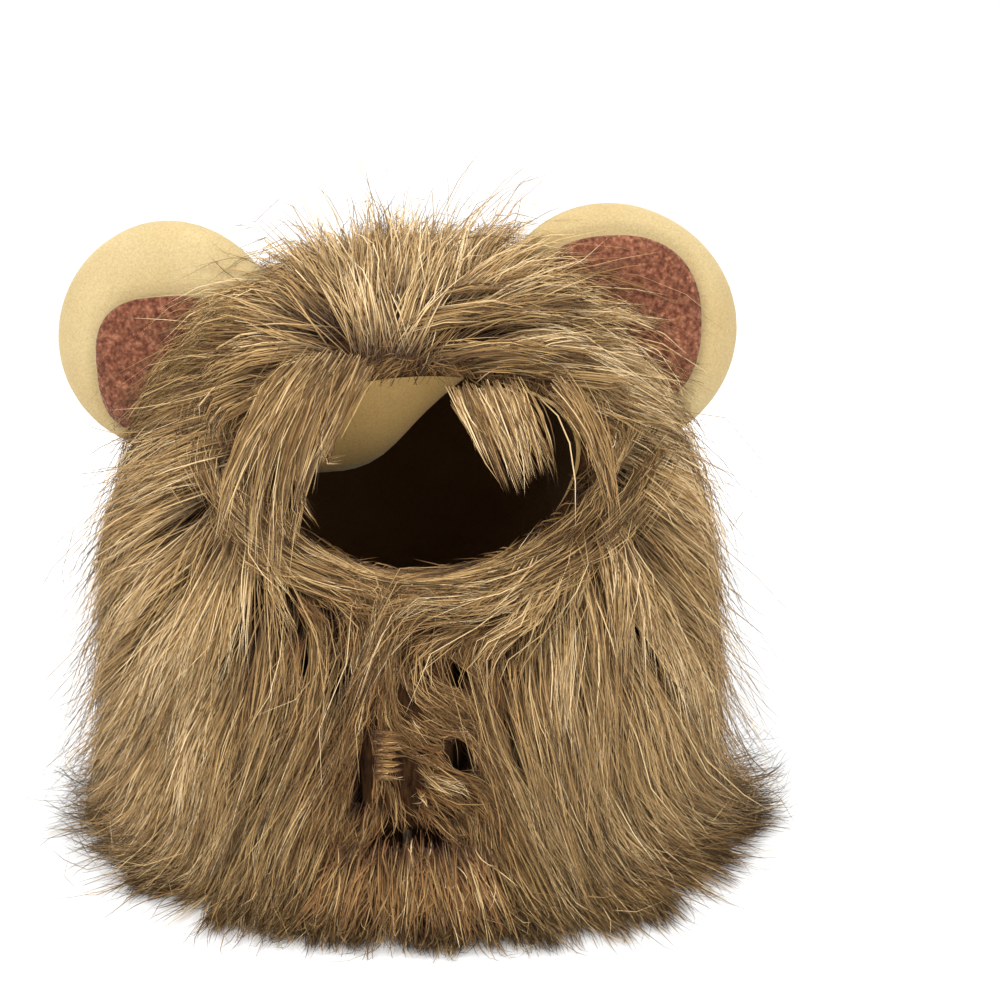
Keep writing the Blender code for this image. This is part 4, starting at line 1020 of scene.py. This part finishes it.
def growRim():
    # each tuft runs along the rim, bowed outwards by lift sin(pi t), and a short dark fringe covers the edge
    made = []
    t = np.linspace(0, 1, strand["points"])
    for spec in rim["arcs"]:
        count = spec["clumps"]
        first, last = spec["arc"]
        way = math.copysign(1.0, last - first)
        span = rim["span"] * dice.uniform(0.7, 1.2, count)
        begin = first + (last - first - way * rim["span"] * 0.5) * dice.uniform(-0.05, 1, count)
        turn = np.radians(begin[:, None] + way * span[:, None] * t)
        reach = dice.uniform(*spec["reach"], count)[:, None] + dice.normal(0, 0.04, (count, 1)) * t
        face, normal = onRim(reach, turn, 0.85)
        deeper, _ = onRim(reach, turn, 0.3)
        guides = deeper + (face - deeper) * np.minimum(1, t * 2.5)[:, None]
        guides = guides + normal * (spec["lift"] * np.sin(t * math.pi) * dice.uniform(0.2, 1.3, (count, 1)))[..., None]
        guides, normal = (each[~crossesHollow(guides)] for each in (guides, normal))
        paths, facing = grownFrom(guides, normal[:, 0], rim["perClump"], np.full(len(guides), rim["spread"]), 0.35, 0.6,
                                  np.full(len(guides), 0.0010), dice)
        tones = toneOf(len(paths), dice, 0.24, 0.12)
        shift = np.repeat(dice.normal(0.20, 0.13, len(guides)), rim["perClump"])
        made.append((clearOfOpening(paths, 0.975), facing, np.where(tones < 0.6, np.clip(tones + shift, 0.01, 0.72), tones)))
    fringe = rim["fringe"]
    count = fringe["clumps"]
    begin = dice.uniform(0, 2 * math.pi, count)
    begin[::2] = np.radians(dice.uniform(*fringe["above"], len(begin[::2])))
    way = np.sign(np.cos(begin))
    turn = begin[:, None] - way[:, None] * np.radians(fringe["turn"]) * dice.uniform(0.3, 1.4, (count, 1)) * t
    reach = fringe["from"] + (fringe["to"] - fringe["from"]) * t * dice.uniform(0.5, 1.0, (count, 1))
    guides, normal = onRim(reach, turn, 0.45)
    paths, facing = grownFrom(guides, normal[:, 0], fringe["perClump"], np.full(count, 0.0016), 0.2, 0.4,
                              np.full(count, 0.0013), dice)
    made.append((clearOfOpening(paths, fringe["least"]), facing, dice.uniform(0.56, 0.70, len(paths))))
    paths, facing, tones = (np.concatenate([each[i] for each in made]) for i in range(3))
    buildStrands("fur_rim", paths, facing, tones, dice.uniform(*strand["width"], len(paths)))


growRim()

# locks that hang over the opening, the tuft under the flap, and the ridges of matted fur on it: start,
# middle and end in mm, how many strands, and their spread in mm
forelocks = {
    "rows": (
        ((15, -45, 157), (22, -61, 149), (29, -66, 131), 170, 1.5),
        ((20, -45, 158), (27, -62, 149), (33, -66, 130), 190, 1.7),
        ((25, -44, 157), (32, -61, 151), (36, -65, 133), 190, 1.7),
        ((29, -44, 157), (36, -61, 151), (39, -65, 136), 110, 1.5),
        ((13, -45, 157), (17, -60, 150), (23, -65, 138), 50, 1.4),
        ((31, -43, 156), (41, -58, 149), (43, -63, 131), 30, 2.2),
        ((-16, -43, 166), (-30, -63, 148), (-36, -67, 112), 150, 1.7),
        ((-20, -42, 166), (-40, -61, 147), (-41, -65, 100), 190, 2.0),
        ((-25, -42, 166), (-50, -58, 148), (-46, -63, 103), 190, 2.2),
        ((-13, -44, 164), (-22, -64, 150), (-27, -67, 138), 90, 1.8),
        ((-17, -44, 165), (-33, -66, 134), (-19, -67, 142), 80, 1.2),
        ((-30, -41, 165), (-53, -56, 148), (-57, -60, 112), 170, 2.4),
        ((-22, -43, 164), (-40, -65, 128), (-27, -68, 122), 80, 1.3),
        ((-26, -43, 164), (-47, -64, 122), (-33, -67, 113), 80, 1.4),
        ((42, -42, 158), (54, -54, 150), (59, -59, 122), 90, 2.4),
        ((46, -41, 156), (60, -52, 146), (60, -59, 112), 100, 2.2),
    ),
    "gather": 0.72, "late": 0.24, "rootTone": 0.26,
    "tuft": {"across": (-17, 18), "root": (-80, 21), "rise": 5, "fan": 1.75, "tip": (-102, 1.0), "locks": 34,
             "strands": 40, "spread": 3.6, "gather": 0.35},
    "ridges": {"x": (-10.5, -1.5), "z": (46, 60), "y": -77.5, "out": 1.6, "count": 7, "strands": 60, "spread": 0.45},
}


def bezier(rows, points):
    # a bend through three control points: (1-t)^2 a + 2t(1-t) b + t^2 c
    a, b, c = (np.array([row[i] for row in rows], float)[:, None] * mm for i in range(3))
    t = np.linspace(0, 1, points)[None, :, None]
    return (1 - t) ** 2 * a + 2 * t * (1 - t) * b + t**2 * c


def growForelocks():
    rows = list(forelocks["rows"])
    tuft = forelocks["tuft"]
    for x in np.linspace(*tuft["across"], tuft["locks"]) + dice.normal(0, 1.6, tuft["locks"]):
        y, z = tuft["root"][0] + dice.uniform(-1, 2), tuft["root"][1] + tuft["rise"] * dice.uniform(-1, 1)
        endY, endZ = tuft["tip"]
        endX = x * tuft["fan"] + dice.normal(0, 4.5)
        endY = endY + abs(x) * 0.25 + dice.uniform(-3, 6)
        rows.append(((x, y, z), ((x + endX) / 2, (y + endY) / 2 - 4, z * 0.62), (endX, endY, endZ),
                     tuft["strands"], tuft["spread"]))
    tufts = range(len(forelocks["rows"]), len(rows))
    ridges = forelocks["ridges"]
    for z in np.linspace(*ridges["z"], ridges["count"]):
        (low, high), y = ridges["x"], ridges["y"]
        rows.append(((low, y, z), ((low + high) / 2, y - 2 * ridges["out"], z + 0.4), (high, y, z),
                     ridges["strands"], ridges["spread"]))
    guides = bezier(rows, strand["points"])
    normals = np.tile(unit(np.array([0.0, -1.0, 0.3])), (len(rows), 1))
    made = [grownFrom(guides[i:i + 1], normals[i:i + 1], row[3], np.array([row[4] * mm]), tuft["gather"] if i in tufts else forelocks["gather"], 0.28,
                      np.array([row[4] * mm * 0.45]), dice, forelocks["late"]) for i, row in enumerate(rows)]
    paths = np.concatenate([each[0] for each in made])
    facing = np.concatenate([each[1] for each in made])
    low = paths[:, 0, 2] < 0.070
    tones = np.where(low & (dice.uniform(0, 1, len(paths)) < 0.55), dice.uniform(0.93, 0.98, len(paths)),
                     toneOf(len(paths), dice, 0.26, 0.14))
    shift = np.repeat(dice.normal(0.15, 0.10, len(rows)), [row[3] for row in rows]) + 0.08 * low
    tones = np.where(tones < 0.6, np.clip(tones + shift, 0.01, 0.7), tones)
    buildStrands("fur_forelocks", onFloor(paths, dice), facing, tones, dice.uniform(*strand["width"], len(paths)),
                 np.where(low, 0.02, forelocks["rootTone"]))


growForelocks()

flap = {"half": 0.0125, "bottom": 0.025, "top": 0.101, "near": 0.0086, "wall": 0.006, "round": 0.12,
        "clumps": 420, "perClump": 24, "length": (0.010, 0.026), "curl": 0.0026, "width": (0.00017, 0.00032)}


def flapPoint(u, v, off):
    # u across and v up the flap, from -1 to 1; off is the distance before the cloth's front
    x = hood["chinX"] + flap["half"] * u * (1 - flap["round"] * v**4)
    z = (flap["bottom"] + flap["top"]) / 2 + (flap["top"] - flap["bottom"]) / 2 * v * (1 - flap["round"] * u**4)
    point, _, _, normal = skinFrame(*frontMap(x, z), 0.0)
    return point + normal * off[..., None]


def makeFlap():
    u, v = np.meshgrid(np.linspace(-1, 1, 31), np.linspace(-1, 1, 61))
    back = flapPoint(u, v, np.full_like(u, flap["near"]))
    edge = np.maximum(np.abs(u), np.abs(v)) ** 6
    lump = waves(back, 0.016, 61) * 0.0009 * (1 - edge)
    face = flapPoint(u, v, flap["near"] + flap["wall"] * (0.72 - 0.5 * edge) + lump)
    made = outwards(closedSheet("flap_undercoat", face, back))
    made.data.materials.append(undercoat)
    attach(made, "root")
    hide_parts("chin_flap")


def growChin():
    # matted fur over the flap and its edges: short curled clumps that lie every way, but mostly as the comb
    # goes, with the hollows left bare
    count = flap["clumps"]
    x = hood["chinX"] + dice.uniform(-0.023, 0.023, count * 2)
    z = dice.uniform(0.016, 0.109, count * 2)
    mapX, mapY = frontMap(x, z)
    face, _, _, normal = skinFrame(mapX, mapY, 1.0, hood["overFlap"])
    kept = np.flatnonzero(~inHollow(face, comb["hollowCore"]) & (ovalOf(skin(mapX, mapY, 0.0)) > 1.05))[:count]
    mapX, mapY, normal = mapX[kept], mapY[kept], normal[kept]
    count = len(kept)
    guides = combed(mapX, mapY, dice.uniform(*flap["length"], count), 0.75, 1.0, 0.001 + 0.0025 * dice.uniform(0, 1, count))
    wander = dice.normal(0, 0.0035, (count, 1, 3)) * np.linspace(0, 1, strand["points"])[:, None] ** 1.3
    guides = guides + wander * np.array([1, 0.3, 1])
    paths, facing = grownFrom(guides, normal, flap["perClump"], np.full(count, 0.0016), 0.5, 0.4,
                              np.full(count, flap["curl"] * 0.5), dice)
    tones = toneOf(len(paths), dice, 0.38, 0.10)
    shift = np.repeat(dice.normal(0.28, 0.16, count), flap["perClump"])
    tones = np.where(tones < 0.6, np.clip(tones + shift, 0.01, 0.72), tones)
    tones = np.where(dice.uniform(0, 1, len(paths)) < 0.40, dice.uniform(0.93, 0.99, len(paths)), tones)
    kept = ~crossesHollow(paths, comb["hollowCore"])
    buildStrands("flap_fur", clearOfOpening(paths[kept], 0.99), facing[kept], tones[kept],
                 dice.uniform(*flap["width"], kept.sum()))


makeFlap()
growChin()

# long dark hairs that stand off the fur
wisps = {"count": 4700, "length": 0.066, "lift": 0.016, "crownLift": 0.034, "sideLift": 0.012, "past": 0.013,
          "width": (0.00018, 0.00032)}


def growWisps():
    mapX, mapY = scattered(wisps["count"], dice, 0.0)
    face, _, _, normal = skinFrame(mapX, mapY)
    x, y, z = face.T
    count = len(mapX)
    right, up = inPicture(face)
    crown = smooth(up, 0.150, 0.168) * smooth(-y, -0.036, -0.006)
    lift = wisps["lift"] * dice.uniform(0.1, 1.2, count) * (1 - 0.6 * smooth(-z, -0.04, 0)) * (1 - 0.5 * smooth(y, 0.01, 0.04))
    lift = lift + wisps["crownLift"] * crown * dice.uniform(0.2, 1, count)
    lift = lift + wisps["sideLift"] * smooth(np.abs(x), 0.062, 0.085) * (dice.uniform(0, 1, count) < 0.35)
    length = reachOf(face, normal, wisps["length"] * dice.uniform(0.6, 1.15, count)) + wisps["past"] * dice.uniform(0, 1, count)
    guides = combed(mapX, mapY, length, 0.5, np.ones(count), lift)
    paths, facing = grownFrom(guides, normal, 2, np.full(count, 0.003), 0.2, 0.75, np.full(count, 0.0034), dice)
    paths = onFloor(clearOfOpening(clearOfEars(paths), 0.85), dice)
    owner = np.repeat(np.arange(count), 2)
    paleCrown = crown[owner] * 0.4
    tones = np.where(dice.uniform(0, 1, len(paths)) < 0.80 - paleCrown, dice.uniform(0.80, 0.90, len(paths)), toneOf(len(paths), dice))
    buildStrands("fur_wisps", paths, facing, tones, dice.uniform(*wisps["width"], len(paths)))


growWisps()

tape = next(o for o in bpy.data.objects if o.name.startswith("closure_tape"))
for slot in tape.material_slots:
    slot.material = hookTape
if not tape.material_slots:
    tape.data.materials.append(hookTape)

studio = {
    "floor": (0.90, 0.90, 0.905), "floorHalf": 6.0,
    "world": 0.95,
    "lights": (  # name, place, size, watts
        ("key", (-0.55, -0.75, 1.15), 0.9, 13.0),
        ("fill", (0.9, -0.9, 0.8), 1.0, 6.0),
        ("top", (0.1, 0.35, 1.5), 1.0, 9.0),
    ),
}


def makeStudio():
    half = studio["floorHalf"]
    points = np.array([(-half, -half, 0), (half, -half, 0), (half, half, 0), (-half, half, 0)], float)
    floor = newMesh("studio_floor", points, np.array([[0, 1, 2, 3]]))
    paint, nodes, links, shader = newMaterial("floor_white", studio["floor"], 0.75)
    floor.data.materials.append(paint)
    for name, place, size, watts in studio["lights"]:
        light = bpy.data.lights.new(name, "AREA")
        light.shape = "DISK"
        light.size = size
        light.energy = watts
        lamp = bpy.data.objects.new(name, light)
        bpy.context.scene.collection.objects.link(lamp)
        way = np.array([0, 0, 0.09]) - np.array(place)
        lamp.location = place
        lamp.rotation_euler = (math.acos(-way[2] / np.linalg.norm(way)), 0, math.atan2(way[1], way[0]) - math.pi / 2)
    world = bpy.data.worlds.new("studio")
    bpy.context.scene.world = world
    world.use_nodes = True
    back = world.node_tree.nodes["Background"]
    back.inputs["Color"].default_value = (1, 1, 1, 1)
    back.inputs["Strength"].default_value = studio["world"]
    bpy.context.scene.view_settings.view_transform = "Standard"


def makeCamera():
    lens = bpy.data.cameras.new("photo_camera")
    lens.lens = view["lens"]
    lens.sensor_width = 36
    lens.shift_x = view["shiftX"]
    lens.shift_y = view["shiftY"]
    lens.clip_start = 0.05
    camera = bpy.data.objects.new("photo_camera", lens)
    bpy.context.scene.collection.objects.link(camera)
    camera.location = np.array(view["target"]) + toCamera * view["distance"]
    camera.rotation_euler = (math.pi / 2 - tilt, 0, 0)
    bpy.context.scene.camera = camera


makeStudio()
makeCamera()
print("studio: floor, lights and camera")
